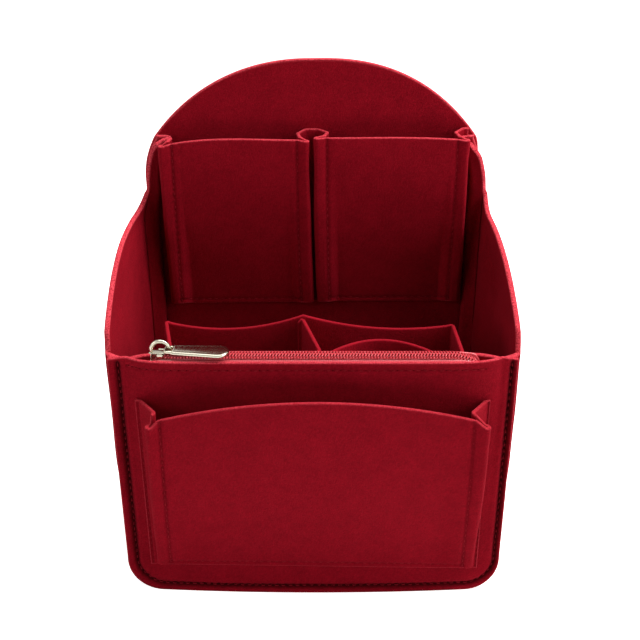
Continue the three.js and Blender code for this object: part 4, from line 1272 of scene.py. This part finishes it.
def pocket_side(sizes, share):
    """The folds of one side of a pocket, from its flange to the root of its stitched fin, opening upward.
    The fin's two layers part like a drop toward its fold and are pinched together where they are sewn.
    A place given as a pair goes from its first value at the foot to its second at the rim."""
    opened = opening(share)

    def across(key):
        """Where a fold lies across the pocket, at each height."""
        return sizes["sign"] * blend(*sizes[key], share) + sizes["shift"] * opened

    def flat(key):
        """The depth of a fold that lies flat on what is behind it."""
        return sizes["face_at"](across(key)) - GAP - POCKET_FELT / 2

    def rounded(key):
        """The radius of a fold that opens from a sharp crease at the foot to a loop at the rim."""
        return blend(tight, sizes[key], opened)

    level = blend(flat("valley") - 2 * LAYER, sizes["face_at"](0.0) - sizes["stand_off"], opened)
    behind = level + 2 * LAYER
    lean = -FIN_LEAN * opened
    puff = -sizes["puff"] * blend(PUFF_SHARE, 1, opened)
    tight = LAYER * HAIRPIN + 0 * share
    loose = tight + np.abs(puff) * HAIRPIN * 2
    foot, fin_foot = sizes["foot_drop"], sizes["fin_drop"]
    attach_rim, valley_rim, fold_rim = sizes["attach_rim"], sizes["valley_rim"], sizes["fold_rim"]
    folds = []
    if "end" in sizes:
        folds.append(fold(across("end"), flat("end"), attach_rim, foot))
    folds.append(fold(across("attach"), flat("attach"), attach_rim, foot, rounded("loop_round")))
    if "bulge" in sizes:
        between = blend(flat("bulge"), behind, BULGE_SHARE)
        rim = blend(attach_rim, valley_rim, BULGE_RIM_SHARE)
        folds.append(fold(across("bulge"), between, rim, foot, rounded("bulge_round")))
    half_foot = blend(foot, fin_foot, 0.5)
    return level, folds + [
        fold(across("valley"), behind, valley_rim, half_foot, rounded("valley_round")),
        fold(across("valley"), level + LAYER, valley_rim, fin_foot, tight),
        fold(across("fold"), level + LAYER + lean - puff, fold_rim, fin_foot, loose),
        fold(across("fold"), level + lean + puff, fold_rim, fin_foot, loose),
        fold(across("root"), level, sizes["root_rim"], fin_foot),
    ]


def pocket_face(sides, level, low, rims, drops, share, count):
    """The corners of a pocket's face between two fin roots: level with them at both sides, settled back
    onto what is behind it between them, its rim an arch over its two root rims."""
    left, right = (side[-1]["x"] for side in sides)
    face = []
    for at in np.linspace(0, 1, count + 2)[1:-1]:
        inward = smooth(min(at, 1 - at) * 2 / SETTLE)
        arch = 1 - (2 * at - 1) ** 2
        y = blend(level, blend(low, level, opening(share)), inward)
        rim = blend(blend(rims[0], rims[2], at), rims[1], arch)
        face.append(fold(blend(left, right, at), y, rim, blend(drops[0], drops[2], at) + drops[1] * inward))
    return face


def column_line(grid, column, low, high):
    """The line up a grid at a column, between two shares of its rows."""
    rows = np.linspace(low, high, 200) * (grid.shape[0] - 1)
    return on_grid(grid, rows, np.full(200, float(column)))


def row_line(grid, row, first, last, count):
    """The line across a grid at a row, between two columns."""
    return on_grid(grid, np.full(count, row), np.linspace(first, last, count))


def make_front_pocket():
    """The front pocket: bellows and a stitched fin at both sides, and a face that stands off its panel at
    the rim and lies flat below. Gives the rows of the fins and the foot, and those of the flanges."""
    foot = POCKET_LOW.z
    rim = POCKET_HIGH.z
    root_rim = rim - 10.9 * MM
    valley_rim = rim - 8.6 * MM
    slope = 3 * MM
    both = {
        "stand_off": 15.5 * MM, "attach_rim": valley_rim, "valley_rim": valley_rim, "shift": 0.0,
        "fold_rim": rim - 14.8 * MM, "root_rim": root_rim,
        "loop_round": 1.6 * MM, "valley_round": 1.6 * MM,
    }
    left_sizes = {
        **both, "sign": -1, "end": (97.4 * MM, 97.4 * MM), "attach": (94.6 * MM, 94.2 * MM),
        "valley": (87.6 * MM, 85.6 * MM), "fold": (91.6 * MM, 89 * MM), "root": (85.3 * MM, 82.8 * MM),
        "puff": 0.9 * MM, "foot_drop": 3.4 * MM, "fin_drop": -0.8 * MM,
    }
    right_sizes = {
        **both, "sign": 1, "end": (96 * MM, 94.9 * MM), "attach": (93.4 * MM, 92.2 * MM),
        "valley": (88.6 * MM, 84.2 * MM), "fold": (91.6 * MM, 92.4 * MM), "root": (87.1 * MM, 85.4 * MM),
        "puff": 0.5 * MM, "foot_drop": 3.4 * MM + slope, "fin_drop": slope - 0.8 * MM,
    }
    rims = (root_rim, rim, root_rim)
    drops = (left_sizes["fin_drop"], 4.2 * MM, right_sizes["fin_drop"])

    def corners_at(share):
        """All the pocket's folds, from its left flange to its right one."""
        z = foot + (valley_rim - foot) * share

        def face_at(x):
            """Depth of the panel's face across the pocket, at each height."""
            return panel_face(x, z)

        level, left = pocket_side({**left_sizes, "face_at": face_at}, share)
        _, right = pocket_side({**right_sizes, "face_at": face_at}, share)
        low = panel_face(0.0, z) - GAP - POCKET_FELT / 2
        return [*left, *pocket_face((left, right), level, low, rims, drops, share, 139), *right[::-1]]

    tall = valley_rim - foot
    middle, marks, seam_row = strip(corners_at, foot, tall, POCKET_STEP, POCKET_ROW, (FOOT_SEAM,))
    root = 6
    fins = [marks[root] + BESIDE, marks[-1 - root] - BESIDE]
    fin_lines = [column_line(middle, column, *FIN_SEWN) for column in fins]
    foot_line = row_line(middle, seam_row, *fins, 400)
    flanges = [marks[0] + (marks[1] - marks[0]) * 0.55, marks[-1] - (marks[-1] - marks[-2]) * 0.55]
    held = [column_line(middle, column, *FLANGE_SEWN) for column in flanges]
    made = felt_piece("front_pocket_felt", "front_pocket", middle, POCKET_FELT, 7, FRONT_POCKET_CUT_HIGHLIGHT, [
        *(groove(line, depth=0.9 * MM, width=1.2 * MM, behind=0.2) for line in fin_lines),
        groove(foot_line, depth=0.5 * MM, width=0.9 * MM, behind=0.1),
        *(groove(line, depth=0.7 * MM, width=0.8 * MM, behind=0.1) for line in held),
    ])
    rows = [settled(line, made["front"], made["normal"]) for line in (*fin_lines, foot_line)]
    return rows, [settled(line, made["front"], made["normal"]) for line in held]


def make_back_pockets():
    """Both back pockets: one strip with a fin at each side, and a loop between two more in the middle."""
    loop_rim = REAR_HIGH.z
    foot = REAR_LOW.z
    both = {
        "stand_off": 14.5 * MM, "face_at": lambda x: BACK_FACE + 0 * x, "puff": 0.5 * MM,
        "loop_round": 2.4 * MM, "valley_round": 1.4 * MM, "bulge_round": 3.5 * MM,
    }
    left_sizes = {
        **both, "sign": -1, "end": (94.5 * MM, 95 * MM), "attach": (91.5 * MM, 91.3 * MM),
        "bulge": (89.5 * MM, 86.8 * MM), "valley": (89.5 * MM, 88 * MM), "fold": (92.3 * MM, 93 * MM),
        "root": (87.2 * MM, 86 * MM), "shift": 0.0, "foot_drop": 2.4 * MM, "fin_drop": 0.4 * MM,
        "attach_rim": loop_rim - 4.3 * MM, "valley_rim": loop_rim - 4.3 * MM,
        "fold_rim": loop_rim - 6.6 * MM, "root_rim": loop_rim - 5.4 * MM,
    }
    right_sizes = {
        **both, "sign": 1, "end": (94.5 * MM, 92.5 * MM), "attach": (91 * MM, 89.4 * MM),
        "bulge": (88.5 * MM, 83.6 * MM), "valley": (89 * MM, 86 * MM), "fold": (91.8 * MM, 91.2 * MM),
        "root": (86 * MM, 85.3 * MM), "shift": 0.0, "foot_drop": 0.6 * MM, "fin_drop": -1.4 * MM,
        "attach_rim": loop_rim + 0.6 * MM, "valley_rim": loop_rim - 1.4 * MM,
        "fold_rim": loop_rim - 2.8 * MM, "root_rim": loop_rim - 2.6 * MM,
    }
    loop = {
        **both, "attach": (3.2 * MM, 3.4 * MM), "valley": (8 * MM, 7.6 * MM), "root": (8.5 * MM, 8.5 * MM),
        "shift": -2 * MM, "loop_round": 5 * MM, "attach_rim": loop_rim, "puff": 0.3 * MM,
        "bulge_round": 5 * MM,
    }
    left_loop = {
        **loop, "sign": -1, "bulge": (8.4 * MM, 9.2 * MM), "fold": (2.2 * MM, 2.6 * MM),
        "foot_drop": 1.4 * MM, "fin_drop": -0.4 * MM, "valley_rim": loop_rim - 1.8 * MM,
        "fold_rim": loop_rim - 3.4 * MM, "root_rim": loop_rim - 2.9 * MM,
    }
    right_loop = {
        **loop, "sign": 1, "bulge": (8.4 * MM, 9.9 * MM), "fold": (2.2 * MM, 2 * MM),
        "foot_drop": 1 * MM, "fin_drop": -0.8 * MM, "valley_rim": loop_rim - 1 * MM,
        "fold_rim": loop_rim - 1.6 * MM, "root_rim": loop_rim - 1.6 * MM,
    }
    count = 59

    def half(outer, inner, peak, share):
        """The folds and face of one pocket, from its outer flange to the middle of the loop."""
        level, side = pocket_side(outer, share)
        _, ring = pocket_side(inner, share)
        low = BACK_FACE - GAP - POCKET_FELT / 2
        rims = (outer["root_rim"], peak, inner["root_rim"])
        drops = (outer["fin_drop"], 2 * MM, inner["fin_drop"])
        return [*side, *pocket_face((side, ring), level, low, rims, drops, share, count), *ring[::-1]]

    def corners_at(share):
        """All the folds of both pockets, from the left flange to the right one."""
        left = half(left_sizes, left_loop, loop_rim - 2.3 * MM, share)
        return [*left, *half(right_sizes, right_loop, loop_rim - 1.4 * MM, share)[::-1]]

    tall = loop_rim - 4.3 * MM - foot
    middle, marks, seam_row = strip(corners_at, foot, tall, POCKET_STEP, POCKET_ROW, (FOOT_SEAM,))
    root = 7
    inner_root = root + count + 1
    left_fins = (marks[root] + BESIDE, marks[inner_root] - BESIDE)
    right_fins = (marks[-1 - inner_root] + BESIDE, marks[-1 - root] - BESIDE)
    fin_lines = [column_line(middle, column, *FIN_SEWN) for column in (*left_fins, *right_fins)]
    foot_lines = [row_line(middle, seam_row, *fins, 300) for fins in (left_fins, right_fins)]
    crease = column_line(middle, marks[root + 4] + 0.5, 0.45, 0.985)
    made = felt_piece("back_pockets_felt", "back_pockets", middle, POCKET_FELT, 8, POCKET_CUT_HIGHLIGHT, [
        *(groove(line, depth=0.8 * MM, width=1.2 * MM, behind=0.2) for line in fin_lines),
        *(groove(line, depth=0.45 * MM, width=0.9 * MM, behind=0.1) for line in foot_lines),
        groove(crease, depth=0.3 * MM, width=0.9 * MM, behind=-0.5),
    ])
    return [settled(line, made["front"], made["normal"]) for line in (*fin_lines, *foot_lines)]


def on_wall(x, z):
    """Depth of the middle of a sheet that lies on the back of the front wall."""
    return wall_face(x, z) + FELT + GAP + POCKET_FELT / 2


def make_inner_wall():
    """The inner pockets' outer wall: a flange and a leg at each side, and a rim that hangs in two arcs from
    a peak between them."""
    flange = 7 * MM
    leg_rim = FRONT_HEIGHT - 2.9 * MM
    left, right = (-87 * MM, FRONT_HEIGHT - 4.7 * MM), (80.6 * MM, FRONT_HEIGHT - 6.8 * MM)
    peak = (INNER_PEAK, FRONT_HEIGHT - 0.4 * MM)
    rim = []
    for start, end, sag in ((left, peak, 6.6 * MM), (peak, right, 5.2 * MM)):
        for at in np.linspace(0, 1, 27)[1:]:
            rim.append((blend(start[0], end[0], at), blend(start[1], end[1], at) - sag * 4 * at * (1 - at)))

    def corners_at(share):
        """The wall's folds, from its left flange to its right one."""
        z = INNER_FOOT + INNER_TALL * share
        one = 1 + 0 * share

        def leg(front, corner):
            """One end: its flange on the front wall, and the fold where it leaves for the rear."""
            on_flange = front - math.copysign(flange, front)
            return [
                fold(on_flange * one, on_wall(front, z), leg_rim),
                fold(front * one, on_wall(front, z), leg_rim, rounding=POCKET_FELT),
                fold(corner[0] * one, INNER_BACK * one, corner[1], rounding=4 * MM),
            ]

        run = [fold(x * one, INNER_BACK * one, height) for x, height in rim[:-1]]
        return [*leg(-78.6 * MM, left), *run, *leg(81 * MM, right)[::-1]]

    wall, _, _ = strip(corners_at, INNER_FOOT, INNER_TALL, INNER_STEP, INNER_STEP)
    felt_piece("inner_pockets_felt", "inner_pocket_wall", wall, POCKET_FELT, 9, INNER_CUT_HIGHLIGHT)


def make_divider():
    """The divider between the inner pockets, with a short flange on the rear wall and one on the front."""
    front = 3 * MM
    rim = FRONT_HEIGHT - 1.9 * MM
    near = INNER_BACK - POCKET_FELT - GAP

    def corners_at(share):
        """The divider's folds, from its rear flange to its front one."""
        z = INNER_FOOT + INNER_TALL * share
        one = 1 + 0 * share
        return [
            fold((INNER_PEAK - 3.2 * MM) * one, near * one, rim - 2.2 * MM),
            fold(INNER_PEAK * one, near * one, rim, rounding=1.6 * MM),
            fold(front * one, on_wall(front, z), rim, rounding=POCKET_FELT),
            fold((front - 8 * MM) * one, on_wall(front, z), rim),
        ]

    divider, _, _ = strip(corners_at, INNER_FOOT, INNER_TALL, INNER_STEP, INNER_STEP)
    felt_piece("divider_felt", "inner_pocket_divider", divider, POCKET_FELT, 10, INNER_CUT_HIGHLIGHT)


def make_card_pocket():
    """The card pocket on the front wall: a flange at each side, and a face that bellies out at its rim."""
    flange = 4 * MM
    belly = 14 * MM
    left, right = CARD_LOW.x + flange, CARD_HIGH.x - flange
    foot, rim = CARD_LOW.z, CARD_HIGH.z
    middle, half = (left + right) / 2, (right - left) / 2

    def corners_at(share):
        """The pocket's line, from its left flange to its right one."""
        z = foot + (rim - foot) * share
        row = [fold(CARD_LOW.x + 0 * z, on_wall(CARD_LOW.x, z), rim)]
        for side in np.linspace(-1, 1, 33):
            x = middle + side * half
            row.append(fold(x + 0 * z, on_wall(x, z) + belly * opening(share) * (1 - side * side), rim))
        return [*row, fold(CARD_HIGH.x + 0 * z, on_wall(CARD_HIGH.x, z), rim)]

    card, _, _ = strip(corners_at, foot, rim - foot, INNER_STEP, INNER_STEP)
    felt_piece("card_pocket_felt", "card_pocket", card, POCKET_FELT, 11, INNER_CUT_HIGHLIGHT)


# The zip


def coil_path_drop(x):
    """How far the coil and tape sink at their ends, where they are tucked into the corners of the pocket:
    a short bend at the left and a long one at the right."""
    reach = np.where(x < 0, LEFT_SINK, RIGHT_SINK)
    past = np.maximum(np.abs(x) - (HALF_COIL - reach), 0) / reach
    return past ** 2 * END_DROP


def make_tape(side):
    """One half of the tape: sewn up inside the felt, then bent over in a round bead beside the coil, from
    which it runs in under the coil."""
    x = np.linspace(-HALF_TAPE, HALF_TAPE, 150)

    def upright(z):
        """Depth of the tape where it lies on the felt."""
        if side < 0:
            return panel_face(x, z) + POCKET_FELT + GAP + TAPE_THICK / 2
        return wall_face(x, z) - GAP - TAPE_THICK / 2

    inner = ZIP_MIDDLE + side * TAPE_CLEAR
    bend = TAPE_BEND
    past_coil = (np.abs(x) - HALF_COIL + 2 * MM) / (HALF_TAPE - HALF_COIL + 1 * MM)
    rows = []
    for share in np.linspace(0, 1, 40):
        up = min(share / UPRIGHT_SHARE, 1)
        over = max(share - UPRIGHT_SHARE, 0) / (1 - UPRIGHT_SHARE)
        rise = math.sin(min(over / 0.35, 1) * math.pi / 2)
        fall = smooth((over - 0.15) / 0.3)
        z = blend(TAPE_FOOT, TAPE_LEVEL - bend, up) + (TAPE_BEAD + bend) * (rise - fall)
        y = blend(upright(min(z, TAPE_LEVEL)), inner, over ** 1.3)
        tucked = TAPE_TUCK * smooth(past_coil) * up
        rows.append(np.stack([x, y, z - coil_path_drop(x) * over - tucked], -1))
    middle = np.stack(rows)
    kept = every_cell(middle)
    half = TAPE_THICK / 2 * edge_profile(border_distance(middle, kept), TAPE_ROUND)
    points, faces, _, _ = closed_sheet(middle, surface_normals(middle), half, half, kept)
    name = "front" if side < 0 else "rear"
    if side > 0:
        faces = faces[:, ::-1]
    made = piece(f"zip_tape_{name}_woven", points, [faces], woven_polyester_tape, "organizer")
    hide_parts(f"zip_tape_{name}")


def squared(value, power):
    """A wave made more square: its height raised to a power below one, its sign kept."""
    return np.sign(value) * np.abs(value) ** power


def make_coil(side):
    """One half of the coil: a wire on a flattened helix whose upper strands slant over the middle line
    between the other half's, so that both halves together show a row of arrowheads."""
    zips = bpy.context.scene.organizer_zip
    turns = round(2 * HALF_COIL / zips.pitch) - 1
    t = np.linspace(0, turns, turns * TURN_POINTS + 1)
    phase = 2 * math.pi * t
    inner = ZIP_MIDDLE - side * COIL_OVERLAP
    height = COIL_HIGH.z - COIL_LOW.z - zips.wire
    offset = 0.25 if side > 0 else 0.75
    x = -HALF_COIL + zips.pitch * (t + offset - SLANT * np.cos(phase))
    y = inner + side * (1 + squared(np.cos(phase), TURN_SQUARE)) * COIL_WIDTH / 2
    z = COIL_LOW.z + COIL_LIFT + zips.wire / 2 + (1 + squared(np.sin(phase), TURN_SQUARE)) * height / 2
    path = np.stack([x, y, z - coil_path_drop(x)], -1)
    outward = np.stack([0 * t, side * np.cos(phase), np.sin(phase)], -1)
    points, faces = tube(path, zips.wire / 2, 7, outward)
    name = "front" if side < 0 else "rear"
    made = piece(f"zip_coil_{name}_wire", points, faces, dyed_nylon_wire, "organizer")
    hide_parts(f"zip_coil_{name}")


def tapered_block(stations, widths, low, high, radius):
    """A block swept along X: a rectangle with round corners whose half width changes from station to
    station."""
    angle = np.concatenate([np.linspace(0, math.pi / 2, 5) + turn * math.pi / 2 for turn in range(4)])
    corner = np.repeat([[1, 1], [-1, 1], [-1, -1], [1, -1]], 5, axis=0)
    middle, half_height = (low + high) / 2, (high - low) / 2
    ends = edge_profile(np.minimum(stations - stations[0], stations[-1] - stations), radius, 2)
    rings = []
    for x, width, share in zip(stations, widths, ends):
        y = corner[:, 0] * (width - radius) + np.cos(angle) * radius * share
        z = middle + corner[:, 1] * (half_height - radius) + np.sin(angle) * radius * share
        rings.append(np.stack([x + 0 * y, y, z], -1))
    return capped(np.array(rings), rings[0].mean(0), rings[-1].mean(0))


def joined(parts):
    """Several closed shapes as one set of points and faces."""
    points, faces, shift = [], [], 0
    for part_points, part_faces in parts:
        points.append(part_points)
        faces += [block + shift for block in part_faces]
        shift += len(part_points)
    return np.concatenate(points), faces


def make_slider_body():
    """The slider's body: two rounded plates joined by a post, and a lug round the coil at each side."""
    half = (SLIDER_HIGH.x - SLIDER_LOW.x) / 2
    wide = (SLIDER_HIGH.y - SLIDER_LOW.y) / 2
    low, high = SLIDER_LOW.z, SLIDER_HIGH.z
    plate = 0.65 * MM
    radius = 0.3 * MM
    ends = np.array(EDGE_ROWS) * radius
    x = np.concatenate([-half + ends, np.linspace(-half + 1 * MM, half - 1 * MM, 17), half - ends[::-1]])
    bulge = 1 - 0.3 * (x / half) ** 4 - 0.08 * smooth(-x / half)
    widths = (wide - 1.9 * MM) * bulge
    parts = [
        tapered_block(x, widths, high - plate, high, radius),
        tapered_block(x, widths, low, low + plate, radius),
    ]
    lug = 0.8 * MM
    reach = 1.6 * MM
    lug_x = np.concatenate([-reach + ends, np.linspace(-1 * MM, 1 * MM, 5), reach - ends[::-1]])
    for sign in (-1, 1):
        for bottom, top in ((high - 2.6 * MM, high), (low, low + 1.2 * MM)):
            points, faces = tapered_block(lug_x, 0 * lug_x + lug, bottom, top, radius)
            points[:, 1] += sign * (wide - lug)
            parts.append((points, faces))
    post_x = np.linspace(-half + 0.8 * MM, -half + 4 * MM, 9)
    post_half = 0.42 * MM
    parts.append(tapered_block(post_x, 0 * post_x + post_half, low + plate / 2, high - plate / 2, 0.2 * MM))
    points, faces = joined(parts)
    points = points + (SLIDER_X, ZIP_MIDDLE, 0)
    made = piece("slider_body_nickel", points, faces, nickel_plated_zinc, "slider")
    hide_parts("slider_body")


def make_bail():
    """The slider's bail: a round wire that stands on the upper plate as an arch."""
    angle = np.linspace(math.pi, 0, 33)
    arch = np.stack([BAIL_RADIUS * np.cos(angle), 0 * angle, BAIL_RADIUS * np.sin(angle)], -1)
    foot = np.linspace(0, 1, 5)[:-1]
    sunk = 0.2 * MM
    leg = (SLIDER_HIGH.z - sunk - PULL_LEVEL) * (1 - foot)
    left = np.stack([-BAIL_RADIUS + 0 * foot, 0 * foot, leg], -1)
    right = (left * (-1, 1, 1))[::-1]
    path = np.concatenate([left, arch, right]) + (SLIDER_X, ZIP_MIDDLE, PULL_LEVEL)
    points, faces = tube(path, BAIL_WIRE / 2, 16, np.array([[0.0, 1.0, 0.0]]))
    made = piece("slider_bail_wire", points, faces, nickel_plated_zinc, "slider")
    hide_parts("slider_bail")


def pull_blade(start, wide, thick):
    """The pull's blade: it widens to a round end. Its height over its middle plane is a profile of the
    distance to its outline, so that it has a raised rim, and a sunk field with a low crown."""
    bend = PULL_HIGH.x - SLIDER_X - wide
    angle = np.linspace(0, math.pi / 2, 30)[1:]
    x = np.concatenate([np.linspace(EYE_OUTER - 0.1 * MM, bend, 60), bend + wide * np.sin(angle)])
    straight = blend(PULL_NECK, wide, (x - start) / (bend - start))
    half = np.where(x > bend, np.sqrt(np.clip(wide ** 2 - (x - bend) ** 2, 0, None)), straight)
    close = np.array(BLADE_ROWS)
    across = np.concatenate([-1 + close, np.linspace(-0.87, 0.87, 33), 1 - close[::-1]])[:, None]
    y = half[None, :] * across
    middle = np.stack([x[None, :] + 0 * y, y, 0 * y], -1)
    kept = every_cell(middle)
    distance = border_distance(middle, kept)
    sunk = FIELD_SUNK * smooth((distance - PULL_RIM) / PULL_STEP)
    crown = FIELD_CROWN * (1 - across ** 2) * smooth(distance / PULL_RISE)
    height = thick * edge_profile(distance, PULL_ROUND, 2) - sunk
    normal = np.zeros_like(middle)
    normal[..., 2] = 1
    points, faces, _, _ = closed_sheet(middle, normal, height + crown, height, kept)
    return points, [faces]


def pull_ring(thick):
    """The flat ring at the root of the pull: a rounded bar round the oblong eye."""
    corner = 1.0 * MM
    far, near = EYE_OUTER + PULL_BAR / 2 - corner, EYE_INNER - PULL_BAR / 2 + corner
    side = EYE_HALF + PULL_BAR / 2 - corner
    line = np.concatenate([
        arc(centre, corner, quarter * 90, quarter * 90 + 90, 7)
        for quarter, centre in enumerate(((far, side), (near, side), (near, -side), (far, -side)))
    ])
    line = along_line(np.concatenate([line, line[:1]]), np.linspace(0, 1, 61)[:-1])
    ahead = unit(np.roll(line, -1, axis=0) - np.roll(line, 1, axis=0))
    aside = np.stack([ahead[:, 1], -ahead[:, 0]], -1)
    turn = np.linspace(0, 2 * math.pi, 17)[:-1]
    out = (squared(np.cos(turn), BAR_SQUARE) * PULL_BAR / 2)[None, :, None]
    flat = line[:, None] + aside[:, None] * out
    tall = np.broadcast_to((squared(np.sin(turn), BAR_SQUARE) * thick)[None, :, None], (*flat.shape[:2], 1))
    points = np.concatenate([flat, tall], -1).reshape(-1, 3)
    index = np.arange(len(points)).reshape(len(line), len(turn))
    index = np.concatenate([index, index[:1]], 0)
    index = np.concatenate([index, index[:, :1]], 1)
    return points, [quads(index)[:, ::-1]]


def make_pull():
    """The pull: a flat ring round the bail and a blade, turned a little aside as it lies in the photo."""
    wide = (PULL_HIGH.y - PULL_LOW.y) / 2
    thick = (PULL_HIGH.z - PULL_LOW.z) / 2
    points, faces = joined([pull_blade(EYE_INNER - PULL_BAR, wide, thick), pull_ring(thick)])
    yaw = math.radians(-PULL_YAW)
    turn = [[math.cos(yaw), math.sin(yaw), 0], [-math.sin(yaw), math.cos(yaw), 0], [0, 0, 1]]
    points = points @ np.array(turn) + (SLIDER_X, ZIP_MIDDLE, PULL_LEVEL)
    made = piece("pull_tab_nickel", points, faces, nickel_plated_zinc, "pull")
    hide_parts("pull_tab")


# Operators


class OBJECT_OT_organizer_body(bpy.types.Operator):
    """Build the back, the gusset, the front wall and the zipped panel with their stitches"""

    bl_idname = "object.organizer_body"
    bl_label = "Organizer body"

    def execute(self, context):
        make_gusset()
        seam, rows = make_front()
        stitch_rows("front_seam_thread", seam, 20, 0.35 * MM)
        stitch_rows("front_thread", rows, 21)
        stitch_rows("back_thread", make_back(), 22, 0.2 * MM)
        return {"FINISHED"}


class OBJECT_OT_organizer_pockets(bpy.types.Operator):
    """Build the folded pockets in front, at the back and inside, with their stitches"""

    bl_idname = "object.organizer_pockets"
    bl_label = "Organizer pockets"

    def execute(self, context):
        rows, held = make_front_pocket()
        stitch_rows("front_pocket_thread", rows, 23, 0.1 * MM)
        stitch_rows("front_pocket_flange_thread", held, 25, 0.3 * MM)
        stitch_rows("back_pockets_thread", make_back_pockets(), 24, 0.1 * MM)
        make_inner_wall()
        make_divider()
        make_card_pocket()
        return {"FINISHED"}


class OBJECT_OT_organizer_zip(bpy.types.Operator):
    """Build the zip: two tapes, two coils, the slider and its pull"""

    bl_idname = "object.organizer_zip"
    bl_label = "Organizer zip"

    def execute(self, context):
        for side in (-1, 1):
            make_tape(side)
            make_coil(side)
        make_slider_body()
        make_bail()
        make_pull()
        return {"FINISHED"}


class OBJECT_OT_organizer_stage(bpy.types.Operator):
    """Build the floor, the lights and the camera"""

    bl_idname = "object.organizer_stage"
    bl_label = "Organizer stage"

    def execute(self, context):
        make_floor()
        make_lights()
        make_camera()
        return {"FINISHED"}


class VIEW3D_PT_organizer(bpy.types.Panel):
    """Lists the sizes and colours, and a button for each group of pieces"""

    bl_label = "Organizer"
    bl_idname = "VIEW3D_PT_organizer"
    bl_space_type = "VIEW_3D"
    bl_region_type = "UI"
    bl_category = "Organizer"

    def draw(self, context):
        for group in GROUPS:
            settings = getattr(context.scene, group)
            for key in settings.__annotations__:
                self.layout.prop(settings, key)
        for operator in OPERATORS:
            self.layout.operator(operator.bl_idname)


# The stage


def make_floor():
    """A large pale floor that rises in a curve behind: half of its rows lie flat, a fifth of them bend and
    the others rise."""
    run = np.linspace(0, 1, 40)
    bend = np.clip((run - 0.5) / 0.2, 0, 1) * math.pi / 2
    y = FLOOR_FRONT + FLOOR_RUN * np.minimum(run, 0.5) / 0.5 + FLOOR_BEND * np.sin(bend)
    z = FLOOR_BEND * (1 - np.cos(bend)) + FLOOR_RISE * np.clip((run - 0.7) / 0.3, 0, 1)
    x = np.linspace(-FLOOR_HALF, FLOOR_HALF, 12)
    grid = np.stack(np.broadcast_arrays(x[None, :], y[:, None], z[:, None]), -1)
    index = np.arange(grid.shape[0] * grid.shape[1]).reshape(grid.shape[:2])
    skin("floor", grid.reshape(-1, 3), [quads(index)], paper_sweep)


def lamp(name, place, size, power):
    """A square lamp at a place, turned toward the organizer's middle."""
    data = bpy.data.lights.new(name, "AREA")
    data.shape = "SQUARE"
    data.size = size
    data.energy = power
    made = linked(name, data)
    made.location = place
    way = Vector(LAMP_AIM) - Vector(place)
    made.rotation_euler = way.to_track_quat("-Z", "Y").to_euler()


def make_surround():
    """A dim white surround that looks plain white wherever the camera or a reflection sees it."""
    world = bpy.data.worlds.new("surround")
    world.use_nodes = True
    tree = world.node_tree
    tree.nodes.clear()
    dim, plain = [
        add(tree, "ShaderNodeBackground", {"Color": (1, 1, 1, 1), "Strength": strength}).outputs[0]
        for strength in (SURROUND, 1)
    ]
    both = add(tree, "ShaderNodeMixShader", {0: seen_rays(tree), 1: dim, 2: plain})
    add(tree, "ShaderNodeOutputWorld", {"Surface": both.outputs[0]})
    bpy.context.scene.world = world


def make_lights():
    """A soft lamp high at the right, a weaker one above the back, one at each side and a dim surround."""
    power = bpy.context.scene.organizer_stage.key
    lamp("key", (0.65, 0.05, 1.1), 0.6, power)
    lamp("top", (0, 0.35, 1.3), 0.8, power * TOP_SHARE)
    lamp("right", (0.95, -0.55, 0.6), 0.7, power * RIGHT_SHARE)
    lamp("left", (-0.95, -0.55, 0.6), 0.7, power * LEFT_SHARE)
    make_surround()
    bpy.context.scene.view_settings.view_transform = "Standard"


def make_camera():
    """The camera at the photo's angle: pitched down, a little right of the middle."""
    data = bpy.data.cameras.new("camera")
    data.sensor_width = SENSOR
    data.lens = LENS
    made = linked("camera", data)
    made.location = CAMERA_PLACE
    made.rotation_euler = (math.radians(90 - PITCH), 0, 0)
    bpy.context.scene.camera = made


GROUPS = {
    "organizer_felt": FeltSettings,
    "organizer_stitch": StitchSettings,
    "organizer_zip": ZipSettings,
    "organizer_stage": StageSettings,
}
OPERATORS = (
    OBJECT_OT_organizer_body,
    OBJECT_OT_organizer_pockets,
    OBJECT_OT_organizer_zip,
    OBJECT_OT_organizer_stage,
)


def register():
    """Makes the settings, operators and panel known."""
    for name, group in GROUPS.items():
        bpy.utils.register_class(group)
        setattr(bpy.types.Scene, name, PointerProperty(type=group))
    for operator in OPERATORS:
        bpy.utils.register_class(operator)
    bpy.utils.register_class(VIEW3D_PT_organizer)


def unregister():
    """Takes the settings, operators and panel back out."""
    bpy.utils.unregister_class(VIEW3D_PT_organizer)
    for operator in reversed(OPERATORS):
        bpy.utils.unregister_class(operator)
    for name, group in GROUPS.items():
        delattr(bpy.types.Scene, name)
        bpy.utils.unregister_class(group)


def main():
    """Builds everything in order."""
    register()
    bpy.ops.object.organizer_body()
    bpy.ops.object.organizer_pockets()
    bpy.ops.object.organizer_zip()
    bpy.ops.object.organizer_stage()


if __name__ == "__main__":
    main()
